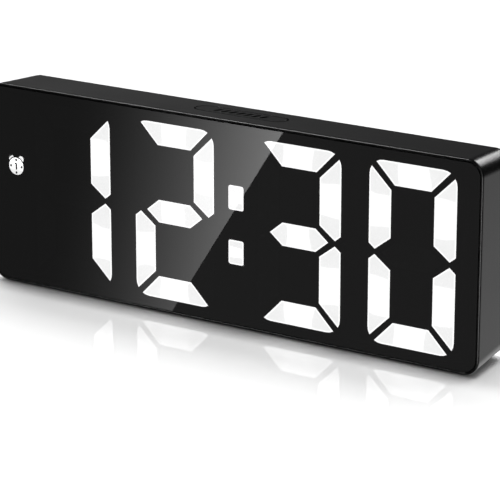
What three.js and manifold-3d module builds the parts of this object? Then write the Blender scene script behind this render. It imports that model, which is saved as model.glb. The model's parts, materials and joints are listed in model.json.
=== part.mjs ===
// A free-standing digital alarm clock with a smoked mirror front, as an assembly of separate pieces.
// Units are millimetres and +Z is up. The pieces are laid out in case coordinates: X runs across the
// front, Y runs from the rim of the front (0) to the back, and Z rises from the underside of the case.
import * as THREE from "three";
import { mergeVertices } from "three/addons/utils/BufferGeometryUtils.js";
import Module from "manifold-3d";

const wasm = await Module();
wasm.setup();

// ---------------------------------------------------------------- driving dimensions

const CASE = { width: 161.4, height: 60, depth: 20, corner: 4.8, wall: 2 };
const DRAFT = 0.06; // how far each side leans in for every millimetre towards the back
const RIM_ROUND = 0.4; // rounding of the rim's outer edge
const RIM_WIDTH = 0.75; // lip left around the front panel
const REAR_FILLET = 3;
const SEAM = { depth: 17, gap: 0.35 }; // joint line between the case and its rear cover
const PANEL = { recess: 0.08, thickness: 1.6, gap: 0.25 };
const SEAT_DEPTH = 2.1; // ledge that the front panel is taped to
const TAPE = { outerInset: 1.1, innerInset: 2.15, film: 0.02 };
const MASK = { front: 1.8, rear: 4.4, inset: 2.7, post: 2.2, screwHole: 0.85, screwStart: 2.8 };
const GUIDE = { base: 4.5, rear: 5 }; // light guides: a base sheet with one raised island per segment
const ISLAND = { gap: 0.12, recess: 0.02 };
const BOARD = { front: 5.7, rear: 6.7, halfWidth: 77.4, halfHeight: 26.6, corner: 2, screwHole: 1.2 };
const KEY_NOTCH = { halfWidth: 18.5, bottom: 54.5 }; // room for the snooze key's stem in the board
const COVER_PLATE = 1.6;
const FOOT_PROUD = 0.3;
const KEY_PROUD = 0.5;
const CLEAR = 1; // how far a cutting tool passes beyond the piece it cuts
const MERGE = 0.1; // how far two joined pieces run into each other

const HALF_W = CASE.width / 2;
const HALF_H = CASE.height / 2;
const MID_Z = CASE.height / 2;
const PLATE_INNER = CASE.depth - COVER_PLATE;

// The display: four seven-segment digits, a colon and an alarm bell.
const DIGIT_X = [-52.78, -17.5, 23.53, 58.85];
const DIGIT_Z = 29.42;
const COLON_X = 3.08;
const DIGIT = { halfWidth: 13.32, halfHeight: 25.93, corner: 4.3, stroke: 6.78, bar: 6.6 };
const SEGMENT_GAP = 1.7;
const COLON = { halfWidth: 2.5, low: 4.37, high: 11.47, corner: 0.6 };
const BELL = { x: -73.03, z: 35, radius: 2.65, bell: 0.95, bellX: 1.75, bellZ: 2.35 };

// The snooze key in the top, and the row of keys in the back.
const SNOOZE = { depth: 9.4, halfLength: 15, halfWidth: 3.5, gap: 0.22, capBottom: 56.2 };
const SNOOZE_FLANGE = { bottom: 56.1, top: 56.9, sides: 0.7, ends: 0.8 };
const STEM = { halfWidth: 1.9, front: 7.6, rear: 9.8, bottom: 53.2 };
const SIDE_SWITCH = { halfWidth: 3.2, bottom: 47.4, top: 51.4, rear: 10.4 };
const SIDE_BORE = { halfWidth: 1.6, front: 7.8, rear: 9.6, bottom: 50 };
const SIDE_PLUNGER = { halfWidth: 1.4, front: 8, rear: 9.4, bottom: 50.8, top: 53.1 };
const REAR_KEYS = ["set", "alarm", "up", "down", "brightness"];
const KEY = { firstX: -62, pitch: 12, z: 44, halfLength: 4.2, halfWidth: 2.4, gap: 0.22, capStart: 17.6 };
const KEY_FLANGE = { start: 17.2, end: 18.1, around: 0.9 };
const KEY_STEM = { radius: 1.6, start: 12.15 };
const SWITCH = { size: 6, rear: 10.25, bore: 1.85, boreStart: 8.8 };
const PLUNGER = { radius: 1.7, start: 9.5, end: 12.05 };

// The battery compartment, seen from inside: X from low to high, Z from bottom to top.
const BAY = { x0: 10, x1: 61, z0: 11.2, z1: 45.8, floor: 8, wall: 1.2, floorThickness: 0.9 };
const DOOR = { ledge: 1, gap: 0.3, thickness: 1.25, edge: 0.65 };
const PIN = { radius: 0.42, reach: 0.9 }; // the door's hinge pins
const SOCKET = { radius: 0.5, reach: 1 };
const LATCH = { from: 6.2, to: 7, length: 9 }; // slots on both sides of the door's springy latch
const GRIP = { halfLength: 4, first: 2.2, width: 0.8, pitch: 1.6, count: 3, depth: 0.3 };
const SCOOP = { radius: 4, depth: 0.7 };
const CELL = { radius: 5.2, length: 44.5, nub: 1.9, nubLength: 0.8, pitch: 11.3, depth: 13.3 };
const BAY_MID_Z = (BAY.z0 + BAY.z1) / 2;

const SCREW = { x: 72.5, dz: 22, seat: 17.5, shank: 0.95, head: 2, headHeight: 1.4, tip: 10 };
const BOSS = { radius: 2.7, start: 7.6, end: 15.3, halfWeb: 0.6, wallInset: 1.6, holeStart: 9.4 };
const LIP = { start: 15.4, slack: 0.3, wall: 1.2, overlap: 0.6 }; // tongue of the rear cover
const COVER_POST = { radius: 3, start: 15.4 };
const BOARD_SCREW = { head: 1.8, headHeight: 1.1, shank: 0.75, tip: 3 };
const BOARD_SCREWS = [[-35.15, 6.5], [-35.15, 51.5], [41.2, 6.5], [41.2, 51.5]];
const USB = {
  x: -62, z: 16.7, halfWidth: 4.47, halfHeight: 1.63, wall: 0.35, gap: 0.4, mouth: 19.6, length: 7.3,
};
const USB_BLADE = { halfWidth: 3.35, halfHeight: 0.35, recess: 0.9 };
const BUZZER = { x: -26, z: 18, radius: 6, height: 8.6, mouth: 1.2, mouthDepth: 1.5 };
const SOUND = { count: 6, circle: 3.4, radius: 0.8 };
const OPENING_START = 17; // cutting tools of the holes in the rear cover start inside it

// Segments in an eighth of a round corner, and in a whole cylinder.
const CORNER_SEGMENTS = 4;
const SMALL_CORNER_SEGMENTS = 2;
const ROUND_SEGMENTS = 20;

// ---------------------------------------------------------------- materials

const material = (color, roughness, metalness = 0) =>
  new THREE.MeshStandardMaterial({ color, roughness, metalness });

const blackSatin = () => material(0x161617, 0.42);
const blackMatt = () => material(0x0c0c0d, 0.7);
const blackKey = () => material(0x1a1a1b, 0.55);
const smokedMirror = () => material(0x08080a, 0.04, 0.1);
const milkyGuide = () => material(0xf4f6f8, 0.5);
const rubber = () => material(0x1b1b1b, 0.9);
const boardGreen = () => material(0x0f3d24, 0.5);
const chipBlack = () => material(0x141414, 0.45);
const steel = () => material(0xb9bcc0, 0.3, 1);
const nickel = () => material(0xc8c6bd, 0.25, 1);
const foamTape = () => material(0x101010, 0.95);
const cellSleeve = () => material(0x3f4a52, 0.4, 0.4);

// ---------------------------------------------------------------- solids

// A closed three.js geometry as a manifold-3d solid.
function solid(geometry) {
  const plain = geometry.clone();
  plain.deleteAttribute("normal");
  plain.deleteAttribute("uv");
  const merged = mergeVertices(plain, 1e-4);
  const vertProperties = Float32Array.from(merged.attributes.position.array);
  const triVerts = Uint32Array.from(merged.index.array);
  return new wasm.Manifold(new wasm.Mesh({ numProp: 3, vertProperties, triVerts }));
}

function geometryOf(body) {
  const mesh = body.getMesh();
  const geometry = new THREE.BufferGeometry();
  geometry.setAttribute("position", new THREE.BufferAttribute(mesh.vertProperties, 3));
  geometry.setIndex(new THREE.BufferAttribute(mesh.triVerts, 1));
  const faceted = geometry.toNonIndexed();
  faceted.computeVertexNormals();
  return faceted;
}

const ordered = (ends) => [...ends].sort((a, b) => a - b);
const join = (...bodies) => bodies.reduce((a, b) => a.add(b));
const cut = (body, ...tools) => tools.reduce((a, b) => a.subtract(b), body);

function block([x0, x1], [y0, y1], [z0, z1]) {
  const geometry = new THREE.BoxGeometry(x1 - x0, y1 - y0, z1 - z0);
  geometry.translate((x0 + x1) / 2, (y0 + y1) / 2, (z0 + z1) / 2);
  return solid(geometry);
}

// A cylinder whose axis runs along Y, from one depth to another.
function post(x, z, radius, y0, y1, segments = ROUND_SEGMENTS) {
  const geometry = new THREE.CylinderGeometry(radius, radius, y1 - y0, segments);
  geometry.translate(x, (y0 + y1) / 2, z);
  return solid(geometry);
}

// A cylinder whose axis runs along X.
function rod(y, z, radius, x0, x1, segments = ROUND_SEGMENTS) {
  const geometry = new THREE.CylinderGeometry(radius, radius, x1 - x0, segments);
  geometry.rotateZ(Math.PI / 2);
  geometry.translate((x0 + x1) / 2, y, z);
  return solid(geometry);
}

// An outline drawn in X and Z, extruded in depth from y0 to y1.
function slab(shape, y0, y1, segments = CORNER_SEGMENTS) {
  const options = { depth: y1 - y0, bevelEnabled: false, curveSegments: segments };
  const geometry = new THREE.ExtrudeGeometry(shape, options);
  geometry.rotateX(Math.PI / 2);
  geometry.translate(0, y1, 0);
  return solid(geometry);
}

// An outline drawn in X and Y, extruded upwards from z0 to z1.
function column(shape, z0, z1, segments = CORNER_SEGMENTS) {
  const options = { depth: z1 - z0, bevelEnabled: false, curveSegments: segments };
  const geometry = new THREE.ExtrudeGeometry(shape, options);
  geometry.translate(0, 0, z0);
  return solid(geometry);
}

function roundedRect(cx, cy, halfW, halfH, radius) {
  const shape = new THREE.Shape();
  const [x0, x1, y0, y1] = [cx - halfW, cx + halfW, cy - halfH, cy + halfH];
  const quarter = Math.PI / 2;
  shape.moveTo(x0 + radius, y0);
  shape.lineTo(x1 - radius, y0);
  shape.absarc(x1 - radius, y0 + radius, radius, -quarter, 0);
  shape.lineTo(x1, y1 - radius);
  shape.absarc(x1 - radius, y1 - radius, radius, 0, quarter);
  shape.lineTo(x0 + radius, y1);
  shape.absarc(x0 + radius, y1 - radius, radius, quarter, 2 * quarter);
  shape.lineTo(x0, y0 + radius);
  shape.absarc(x0 + radius, y0 + radius, radius, 2 * quarter, 3 * quarter);
  return shape;
}

const stadium = (cx, cy, halfLength, halfWidth) =>
  roundedRect(cx, cy, halfLength, halfWidth, halfWidth - 1e-3);

const caseOutline = (inset, cz = 0) =>
  roundedRect(0, cz, HALF_W - inset, HALF_H - inset, CASE.corner - inset);

// A block with the case's rounded outline whose sides move in by a given inset at each depth.
function drafted(inset, stations) {
  const last = stations.length - 1;
  const options = { depth: last, steps: last, bevelEnabled: false, curveSegments: CORNER_SEGMENTS };
  const geometry = new THREE.ExtrudeGeometry(caseOutline(inset), options);
  const position = geometry.attributes.position;
  for (let i = 0; i < position.count; i++) {
    const [depth, lean] = stations[last - Math.round(position.getZ(i))];
    const x = position.getX(i);
    const y = position.getY(i);
    position.setXYZ(i, x - Math.sign(x) * lean, y - Math.sign(y) * lean, -depth);
  }
  geometry.rotateX(Math.PI / 2);
  geometry.translate(0, 0, MID_Z);
  return solid(geometry);
}

const straightStations = (y0, y1) => [[y0, DRAFT * y0], [y1, DRAFT * y1]];

// Depth and inset down a quarter round, from its start to its end in so many steps.
function roundStations(steps, radius, depthAt) {
  const stations = [];
  for (let i = 0; i <= steps; i++) {
    const angle = (Math.PI / 2) * (i / steps);
    const depth = depthAt(angle);
    stations.push([depth, DRAFT * depth + radius * (1 - Math.sin(angle))]);
  }
  return stations;
}

const rimStations = () =>
  roundStations(3, RIM_ROUND, (angle) => RIM_ROUND * (1 - Math.cos(angle)));

const filletStations = () =>
  roundStations(6, REAR_FILLET, (angle) => CASE.depth - REAR_FILLET * (1 - Math.cos(angle))).reverse();

// ---------------------------------------------------------------- scene graph

const alarmClock = new THREE.Group();
const clock = new THREE.Group();
const frontToBack = CASE.depth + KEY_PROUD;
clock.position.set(0, -frontToBack / 2, FOOT_PROUD);
alarmClock.add(clock);

function piece(name, body, look) {
  const mesh = new THREE.Mesh(geometryOf(body), look);
  mesh.name = name;
  clock.add(mesh);
}

// ---------------------------------------------------------------- case and front

const screwPlaces = () => {
  const places = [];
  for (const sx of [-1, 1]) {
    for (const sz of [-1, 1]) {
      places.push([sx * SCREW.x, MID_Z + sz * SCREW.dz, sx, sz]);
    }
  }
  return places;
};

// One screw boss with the two webs that tie it to the side wall and to the top or bottom wall.
function boss([x, z, sx, sz]) {
  const { radius, start, end, halfWeb, wallInset } = BOSS;
  const side = ordered([x, sx * (HALF_W - wallInset)]);
  const level = ordered([z, MID_Z + sz * (HALF_H - wallInset)]);
  const webX = block(side, [start, end], [z - halfWeb, z + halfWeb]);
  const webZ = block([x - halfWeb, x + halfWeb], [start, end], level);
  return join(post(x, z, radius, start, end), webX, webZ);
}

const bossHole = ([x, z]) => post(x, z, SCREW.shank + 0.1, BOSS.holeStart, BOSS.end + CLEAR);

const FEET = [[-60, 5.2], [60, 5.2], [-60, 13.8], [60, 13.8]];
const FOOT = { halfLength: 8, halfWidth: 1.9, pocket: 0.55, gap: 0.15, glue: 0.05 };
const footCeiling = (y) => DRAFT * y + FOOT.pocket;

function footPocket([x, y]) {
  const outline = stadium(x, y, FOOT.halfLength + FOOT.gap, FOOT.halfWidth + FOOT.gap);
  return column(outline, -CLEAR, footCeiling(y), SMALL_CORNER_SEGMENTS);
}

function caseShell() {
  const outside = drafted(0, [...rimStations(), [SEAM.depth, DRAFT * SEAM.depth]]);
  const rebate = slab(caseOutline(RIM_WIDTH, MID_Z), -CLEAR, SEAT_DEPTH);
  const cavity = drafted(CASE.wall, straightStations(SEAT_DEPTH - MERGE, SEAM.depth + CLEAR));
  const keyHole = stadium(0, SNOOZE.depth, SNOOZE.halfLength, SNOOZE.halfWidth);
  const places = screwPlaces();
  const walls = cut(outside, rebate, cavity);
  const shell = join(walls, ...places.map(boss));
  return cut(
    shell,
    ...places.map(bossHole),
    column(keyHole, MID_Z, CASE.height + CLEAR),
    ...FEET.map(footPocket),
  );
}

const panelRear = PANEL.recess + PANEL.thickness;

const frontPanel = () => slab(caseOutline(RIM_WIDTH + PANEL.gap, MID_Z), PANEL.recess, panelRear);

function panelTape() {
  const { outerInset, innerInset, film } = TAPE;
  const outer = slab(caseOutline(outerInset, MID_Z), panelRear + film, SEAT_DEPTH - film);
  const inner = slab(caseOutline(innerInset, MID_Z), 0, SEAT_DEPTH + CLEAR);
  return cut(outer, inner);
}

// ---------------------------------------------------------------- display

// A convex outline from its corner points, pulled in on every side by the given inset.
function insetPolygon(points, inset) {
  const count = points.length;
  const lines = points.map((a, i) => {
    const b = points[(i + 1) % count];
    const along = new THREE.Vector2(b[0] - a[0], b[1] - a[1]).normalize();
    const inward = new THREE.Vector2(-along.y, along.x);
    const start = new THREE.Vector2(...a).addScaledVector(inward, inset);
    return { start, along };
  });
  return lines.map((line, i) => {
    const before = lines[(i + count - 1) % count];
    const between = line.start.clone().sub(before.start);
    const t = between.cross(line.along) / before.along.cross(line.along);
    return before.start.clone().addScaledVector(before.along, t);
  });
}

// Segment names run from a at the top clockwise to f, with g across the middle. The digit's outside
// corners are rounded, and its mitres are 45 degree cuts through those corners.
const mitre = SEGMENT_GAP / Math.SQRT2;
const [DW, DH] = [DIGIT.halfWidth, DIGIT.halfHeight];
const innerX = DW - DIGIT.stroke;
const innerZ = DH - DIGIT.bar;
const mitreAt = DH - DW; // z minus x along the mitre line
const MITRE_ANGLES = { side: 32.5, top: 58.5 }; // where the cut leaves the round corner

function roundCorner(from, to) {
  const centre = [DW - DIGIT.corner, DH - DIGIT.corner];
  const points = [];
  for (let i = 0; i <= 2; i++) {
    const angle = THREE.MathUtils.degToRad(from + ((to - from) * i) / 2);
    points.push([
      centre[0] + DIGIT.corner * Math.cos(angle),
      centre[1] + DIGIT.corner * Math.sin(angle),
    ]);
  }
  return points;
}

const mirrorX = (points) => points.map(([x, z]) => [-x, z]).reverse();
const mirrorZ = (points) => points.map(([x, z]) => [x, -z]).reverse();

const topBar = () => [
  [-(innerZ - mitreAt - mitre), innerZ],
  [innerZ - mitreAt - mitre, innerZ],
  ...roundCorner(MITRE_ANGLES.top, 90),
  ...mirrorX(roundCorner(MITRE_ANGLES.top, 90)),
];

const SIDE_TIP = [11.45, 0.73]; // the point that each upright bar ends in at mid height
const SIDE_SHOULDER = 2.25;
const SIDE_INNER = 4.48;

const rightBar = () => [
  [innerX, SIDE_INNER],
  SIDE_TIP,
  [DW, SIDE_SHOULDER],
  ...roundCorner(0, MITRE_ANGLES.side),
  [innerX, innerX + mitreAt - mitre],
];

const MIDDLE = { half: 3.35, shoulder: 5.3, tip: 9.36 };

const middleBar = () => [
  [-MIDDLE.tip, 0],
  [-MIDDLE.shoulder, -MIDDLE.half],
  [MIDDLE.shoulder, -MIDDLE.half],
  [MIDDLE.tip, 0],
  [MIDDLE.shoulder, MIDDLE.half],
  [-MIDDLE.shoulder, MIDDLE.half],
];

const SEGMENTS = {
  a: topBar(),
  b: rightBar(),
  c: mirrorZ(rightBar()),
  d: mirrorZ(topBar()),
  e: mirrorX(mirrorZ(rightBar())),
  f: mirrorX(rightBar()),
  g: middleBar(),
};

function segmentSlab(points, cx, cz, inset, y0, y1) {
  const placed = insetPolygon(points, inset).map((p) => new THREE.Vector2(p.x + cx, p.y + cz));
  return slab(new THREE.Shape(placed), y0, y1);
}

const digitSlabs = (x, inset, y0, y1) =>
  Object.values(SEGMENTS).map((points) => segmentSlab(points, x, DIGIT_Z, inset, y0, y1));

function colonSlabs(inset, y0, y1) {
  const half = (COLON.high - COLON.low) / 2;
  return [-1, 1].map((side) => {
    const cz = DIGIT_Z + side * (COLON.low + half);
    const outline = roundedRect(COLON_X, cz, COLON.halfWidth - inset, half - inset, COLON.corner);
    return slab(outline, y0, y1, 2);
  });
}

// The alarm sign: a round dial with two bells on its shoulders.
function bellSlab(inset, y0, y1) {
  const disc = post(BELL.x, BELL.z, BELL.radius - inset, y0, y1, 32);
  const bells = [-1, 1].map((side) =>
    post(BELL.x + side * BELL.bellX, BELL.z + BELL.bellZ, BELL.bell - inset, y0, y1, 16),
  );
  return join(disc, ...bells);
}

function displayMask() {
  const { front, rear, inset, post: radius, screwHole, screwStart } = MASK;
  const plate = slab(caseOutline(inset, MID_Z), front, rear, SMALL_CORNER_SEGMENTS);
  const postEnd = BOARD.front - 0.05;
  const posts = BOARD_SCREWS.map(([x, z]) => post(x, z, radius, rear - MERGE, postEnd));
  const holes = BOARD_SCREWS.map(([x, z]) => post(x, z, screwHole, screwStart, BOARD.front + CLEAR, 14));
  const through = [front - CLEAR, rear + CLEAR];
  const windows = [
    ...DIGIT_X.flatMap((x) => digitSlabs(x, 0, ...through)),
    ...colonSlabs(0, ...through),
    bellSlab(0, ...through),
  ];
  return cut(join(plate, ...posts), ...windows, ...holes);
}

// A base sheet's half sizes beyond its digit, and those of the colon's and the alarm sign's own sheets.
const SHEET = { corner: 1, sides: 1.5, ends: 0.9 };
const COLON_SHEET = [3.6, 14];
const BELL_SHEET = [3.9, 4.6];

function guide(x, z, [halfW, halfH], islandsOf) {
  const sheet = slab(roundedRect(x, z, halfW, halfH, SHEET.corner), GUIDE.base, GUIDE.rear, 2);
  const islands = islandsOf(ISLAND.gap, MASK.front + ISLAND.recess, GUIDE.base + MERGE);
  return join(sheet, ...islands);
}

const digitGuide = (x) =>
  guide(x, DIGIT_Z, [DW + SHEET.sides, DH + SHEET.ends], (...sizes) => digitSlabs(x, ...sizes));

const colonGuide = () => guide(COLON_X, DIGIT_Z, COLON_SHEET, colonSlabs);

const bellGuide = () => guide(BELL.x, BELL.z + 0.4, BELL_SHEET, (...sizes) => [bellSlab(...sizes)]);

// ---------------------------------------------------------------- circuit board

// One light-emitting diode behind the middle of each segment, and of each dot of the colon.
const LED = { half: 1.4, height: 0.5 };
const LED_X = DW - 3.5;
const LED_Z = { bars: DH - 3.4, sides: 12.4, colon: 8 };

const LED_PLACES = [
  [0, LED_Z.bars], [LED_X, LED_Z.sides], [LED_X, -LED_Z.sides], [0, -LED_Z.bars],
  [-LED_X, -LED_Z.sides], [-LED_X, LED_Z.sides], [0, 0],
];

const ledAt = (x, z) =>
  block(
    [x - LED.half, x + LED.half],
    [BOARD.front - LED.height, BOARD.front + MERGE],
    [z - LED.half, z + LED.half],
  );

function mainBoard() {
  const through = [BOARD.front - CLEAR, BOARD.rear + CLEAR];
  const outline = roundedRect(0, MID_Z, BOARD.halfWidth, BOARD.halfHeight, BOARD.corner);
  const notch = block([-KEY_NOTCH.halfWidth, KEY_NOTCH.halfWidth], through, [KEY_NOTCH.bottom, CASE.height]);
  const plate = cut(slab(outline, BOARD.front, BOARD.rear), notch);
  const digitLeds = DIGIT_X.flatMap((x) => LED_PLACES.map(([dx, dz]) => ledAt(x + dx, DIGIT_Z + dz)));
  const colonLeds = [-LED_Z.colon, LED_Z.colon].map((dz) => ledAt(COLON_X, DIGIT_Z + dz));
  const leds = [...digitLeds, ...colonLeds, ledAt(BELL.x, BELL.z)];
  const holes = BOARD_SCREWS.map(([x, z]) => post(x, z, BOARD.screwHole, ...through));
  return cut(join(plate, ...leds), ...holes);
}

const onBoard = BOARD.rear + 0.05; // small parts sit on a film of solder
const CHIP = { x: -44, z: 26, halfLength: 9, halfWidth: 3.8, lift: 0.2, top: 2.4 };
const LEAD = { count: 14, pitch: 1.27, half: 0.2, reach: 5.2, height: 0.9 };
const CRYSTAL = { x: -64, z: 27, halfLength: 5, halfWidth: 2.2, height: 3.5 };
const CAPACITOR = { x: -12, z: 32, radius: 3.15, height: 7.7, base: 1, halfBase: 3.3 };
const SENSOR = { x: -72, z: 20, bead: 1.3, height: 5, legs: 0.6, leg: 0.25 };

function microcontroller() {
  const { x, z, halfLength, halfWidth, lift, top } = CHIP;
  const body = block(
    [x - halfLength, x + halfLength],
    [onBoard + lift, onBoard + top],
    [z - halfWidth, z + halfWidth],
  );
  const leads = [];
  for (let i = 0; i < LEAD.count; i++) {
    const at = x + (i - (LEAD.count - 1) / 2) * LEAD.pitch;
    const depth = [onBoard, onBoard + LEAD.height];
    leads.push(block([at - LEAD.half, at + LEAD.half], depth, [z - LEAD.reach, z + LEAD.reach]));
  }
  return join(body, ...leads);
}

function quartzCrystal() {
  const { x, z, halfLength, halfWidth, height } = CRYSTAL;
  return slab(stadium(x, z, halfLength, halfWidth), onBoard, onBoard + height, SMALL_CORNER_SEGMENTS);
}

function filterCapacitor() {
  const { x, z, radius, height, base, halfBase } = CAPACITOR;
  const can = post(x, z, radius, onBoard + base - MERGE, onBoard + height);
  const foot = block([x - halfBase, x + halfBase], [onBoard, onBoard + base], [z - halfBase, z + halfBase]);
  return join(can, foot);
}

function buzzer() {
  const { x, z, radius, height, mouth, mouthDepth } = BUZZER;
  const end = onBoard + height;
  const can = post(x, z, radius, onBoard, end, 32);
  return cut(can, post(x, z, mouth, end - mouthDepth, end + CLEAR, 16));
}

// A bead thermistor standing on two legs.
function temperatureSensor() {
  const { x, z, bead, height, legs, leg } = SENSOR;
  const ball = new THREE.SphereGeometry(bead, 12, 8);
  ball.translate(x, onBoard + height, z);
  const standing = [-legs, legs].map((dx) => post(x + dx, z, leg, onBoard, onBoard + height, 6));
  return join(solid(ball), ...standing);
}

// A push switch: a square can with a bore, in which the plunger slides.
function switchBody(x, z) {
  const half = SWITCH.size / 2;
  const can = block([x - half, x + half], [onBoard, SWITCH.rear], [z - half, z + half]);
  return cut(can, post(x, z, SWITCH.bore, SWITCH.boreStart, SWITCH.rear + CLEAR));
}

const switchPlunger = (x, z) => post(x, z, PLUNGER.radius, PLUNGER.start, PLUNGER.end);

// ---------------------------------------------------------------- snooze key and its switch

// The key's top is part of the sloping top of the case, so it is cut from the same drafted block.
function snoozeKey() {
  const { depth, halfLength, halfWidth, gap, capBottom } = SNOOZE;
  const { bottom, top, sides, ends } = SNOOZE_FLANGE;
  const outside = drafted(0, straightStations(RIM_ROUND, SEAM.depth));
  const capOutline = stadium(0, depth, halfLength - gap, halfWidth - gap);
  const cap = column(capOutline, capBottom, CASE.height + CLEAR).intersect(outside);
  const flangeOutline = stadium(0, depth, halfLength + ends, halfWidth + sides);
  const flange = column(flangeOutline, bottom, top, SMALL_CORNER_SEGMENTS);
  const stem = block([-STEM.halfWidth, STEM.halfWidth], [STEM.front, STEM.rear], [STEM.bottom, top - MERGE]);
  return join(cap, flange, stem);
}

function snoozeSwitchBody() {
  const { halfWidth, bottom, top, rear } = SIDE_SWITCH;
  const can = block([-halfWidth, halfWidth], [onBoard, rear], [bottom, top]);
  const bore = block(
    [-SIDE_BORE.halfWidth, SIDE_BORE.halfWidth],
    [SIDE_BORE.front, SIDE_BORE.rear],
    [SIDE_BORE.bottom, top + CLEAR],
  );
  return cut(can, bore);
}

function snoozePlunger() {
  const { halfWidth, front, rear, bottom, top } = SIDE_PLUNGER;
  return block([-halfWidth, halfWidth], [front, rear], [bottom, top]);
}

// ---------------------------------------------------------------- rear keys

const keyPlaces = REAR_KEYS.map((name, i) => ({ name, x: KEY.firstX + i * KEY.pitch, z: KEY.z }));

function rearKey(x, z) {
  const { halfLength, halfWidth, gap, capStart } = KEY;
  const { start, end, around } = KEY_FLANGE;
  const cap = slab(stadium(x, z, halfLength - gap, halfWidth - gap), capStart, CASE.depth + KEY_PROUD);
  const flangeOutline = stadium(x, z, halfLength + around, halfWidth + around);
  const flange = slab(flangeOutline, start, end, SMALL_CORNER_SEGMENTS);
  const stem = post(x, z, KEY_STEM.radius, KEY_STEM.start, start + MERGE, 12);
  return join(cap, flange, stem);
}

// ---------------------------------------------------------------- rear cover

const doorX = [BAY.x0 - DOOR.ledge, BAY.x1 + DOOR.ledge];
const doorZ = [BAY.z0 - DOOR.ledge, BAY.z1 + DOOR.ledge];
const doorInner = CASE.depth - DOOR.thickness;
const hinge = { y: (doorInner + CASE.depth) / 2, z: doorZ[0] + DOOR.gap + DOOR.edge };

const batteryBay = () =>
  block(
    [BAY.x0 - BAY.wall, BAY.x1 + BAY.wall],
    [BAY.floor - BAY.floorThickness, PLATE_INNER + MERGE],
    [BAY.z0 - BAY.wall, BAY.z1 + BAY.wall],
  );

function doorRecess() {
  const behind = CASE.depth + CLEAR;
  const inside = block([BAY.x0, BAY.x1], [BAY.floor, behind], [BAY.z0, BAY.z1]);
  const recess = block(doorX, [doorInner - MERGE, behind], doorZ);
  const scoop = post((BAY.x0 + BAY.x1) / 2, doorZ[1], SCOOP.radius, CASE.depth - SCOOP.depth, behind, 24);
  const sockets = rod(hinge.y, hinge.z, SOCKET.radius, doorX[0] - SOCKET.reach, doorX[1] + SOCKET.reach);
  return [inside, recess, scoop, sockets];
}

const coverScrewPost = ([x, z]) => post(x, z, COVER_POST.radius, COVER_POST.start, PLATE_INNER + MERGE);

function coverScrewHole([x, z]) {
  const sink = post(x, z, SCREW.head + 0.3, SCREW.seat, CASE.depth + CLEAR);
  const clearance = post(x, z, SCREW.shank + 0.3, COVER_POST.start - CLEAR, SCREW.seat + MERGE);
  return join(sink, clearance);
}

// An opening through the plate of the rear cover.
const opening = (outline) => slab(outline, OPENING_START, CASE.depth + CLEAR);

function soundHoles() {
  const { x, z } = BUZZER;
  const { count, circle, radius } = SOUND;
  const places = [[x, z]];
  for (let i = 0; i < count; i++) {
    const angle = (2 * Math.PI * i) / count;
    places.push([x + circle * Math.cos(angle), z + circle * Math.sin(angle)]);
  }
  return places.map(([px, pz]) => post(px, pz, radius, OPENING_START, CASE.depth + CLEAR, 12));
}

// The rear fillet's inset at any depth behind its start.
function fairedLean(depth) {
  const into = depth - (CASE.depth - REAR_FILLET);
  return DRAFT * depth + REAR_FILLET - Math.sqrt(REAR_FILLET ** 2 - into ** 2);
}

function rearCover() {
  const seam = SEAM.depth + SEAM.gap;
  const back = drafted(0, [[seam, fairedLean(seam)], ...filletStations().slice(1)]);
  const tongueInset = CASE.wall + LIP.slack;
  const tongue = drafted(tongueInset, straightStations(LIP.start, SEAM.depth + LIP.overlap));
  const hollow = drafted(tongueInset + LIP.wall, straightStations(LIP.start - CLEAR, PLATE_INNER));
  const places = screwPlaces();
  const shell = cut(join(back, tongue), hollow);
  const filled = join(shell, batteryBay(), ...places.map(coverScrewPost));
  const keyHoles = keyPlaces.map(({ x, z }) => opening(stadium(x, z, KEY.halfLength, KEY.halfWidth)));
  const usbHole = opening(stadium(USB.x, USB.z, USB.halfWidth + USB.gap, USB.halfHeight + USB.gap));
  return cut(
    filled,
    ...doorRecess(),
    ...places.map(coverScrewHole),
    ...soundHoles(),
    ...keyHoles,
    usbHole,
  );
}

// The door turns on two pins at its lower edge, which is rounded about the same axis.
function batteryDoor() {
  const x = [doorX[0] + DOOR.gap, doorX[1] - DOOR.gap];
  const top = doorZ[1] - DOOR.gap;
  const leaf = block(x, [doorInner, CASE.depth], [hinge.z, top]);
  const edge = rod(hinge.y, hinge.z, DOOR.thickness / 2, x[0], x[1], 24);
  const pins = rod(hinge.y, hinge.z, PIN.radius, x[0] - PIN.reach, x[1] + PIN.reach);
  const middle = (x[0] + x[1]) / 2;
  const slots = [-1, 1].map((side) => {
    const across = ordered([middle + side * LATCH.from, middle + side * LATCH.to]);
    return block(across, [doorInner - CLEAR, CASE.depth + CLEAR], [top - LATCH.length, top + CLEAR]);
  });
  const grips = [];
  for (let i = 0; i < GRIP.count; i++) {
    const high = top - GRIP.first - GRIP.pitch * i;
    const across = [middle - GRIP.halfLength, middle + GRIP.halfLength];
    grips.push(block(across, [CASE.depth - GRIP.depth, CASE.depth + CLEAR], [high - GRIP.width, high]));
  }
  return cut(join(leaf, edge, pins), ...slots, ...grips);
}

// ---------------------------------------------------------------- cells and contacts

const PLATE = { thickness: 0.4, front: 9.2, rear: 17.4, reach: 4, gap: 0.1 };
const LEFT_PLATE = BAY.x0 + PLATE.gap;
const RIGHT_PLATE = BAY.x1 - PLATE.gap - PLATE.thickness;
const SPRING = { large: 3.4, small: 1.5, wire: 0.3, turns: 3, reach: 4.6, root: 0.15 };
const cellZ = (i) => BAY_MID_Z + (i - 1) * CELL.pitch;

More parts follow.
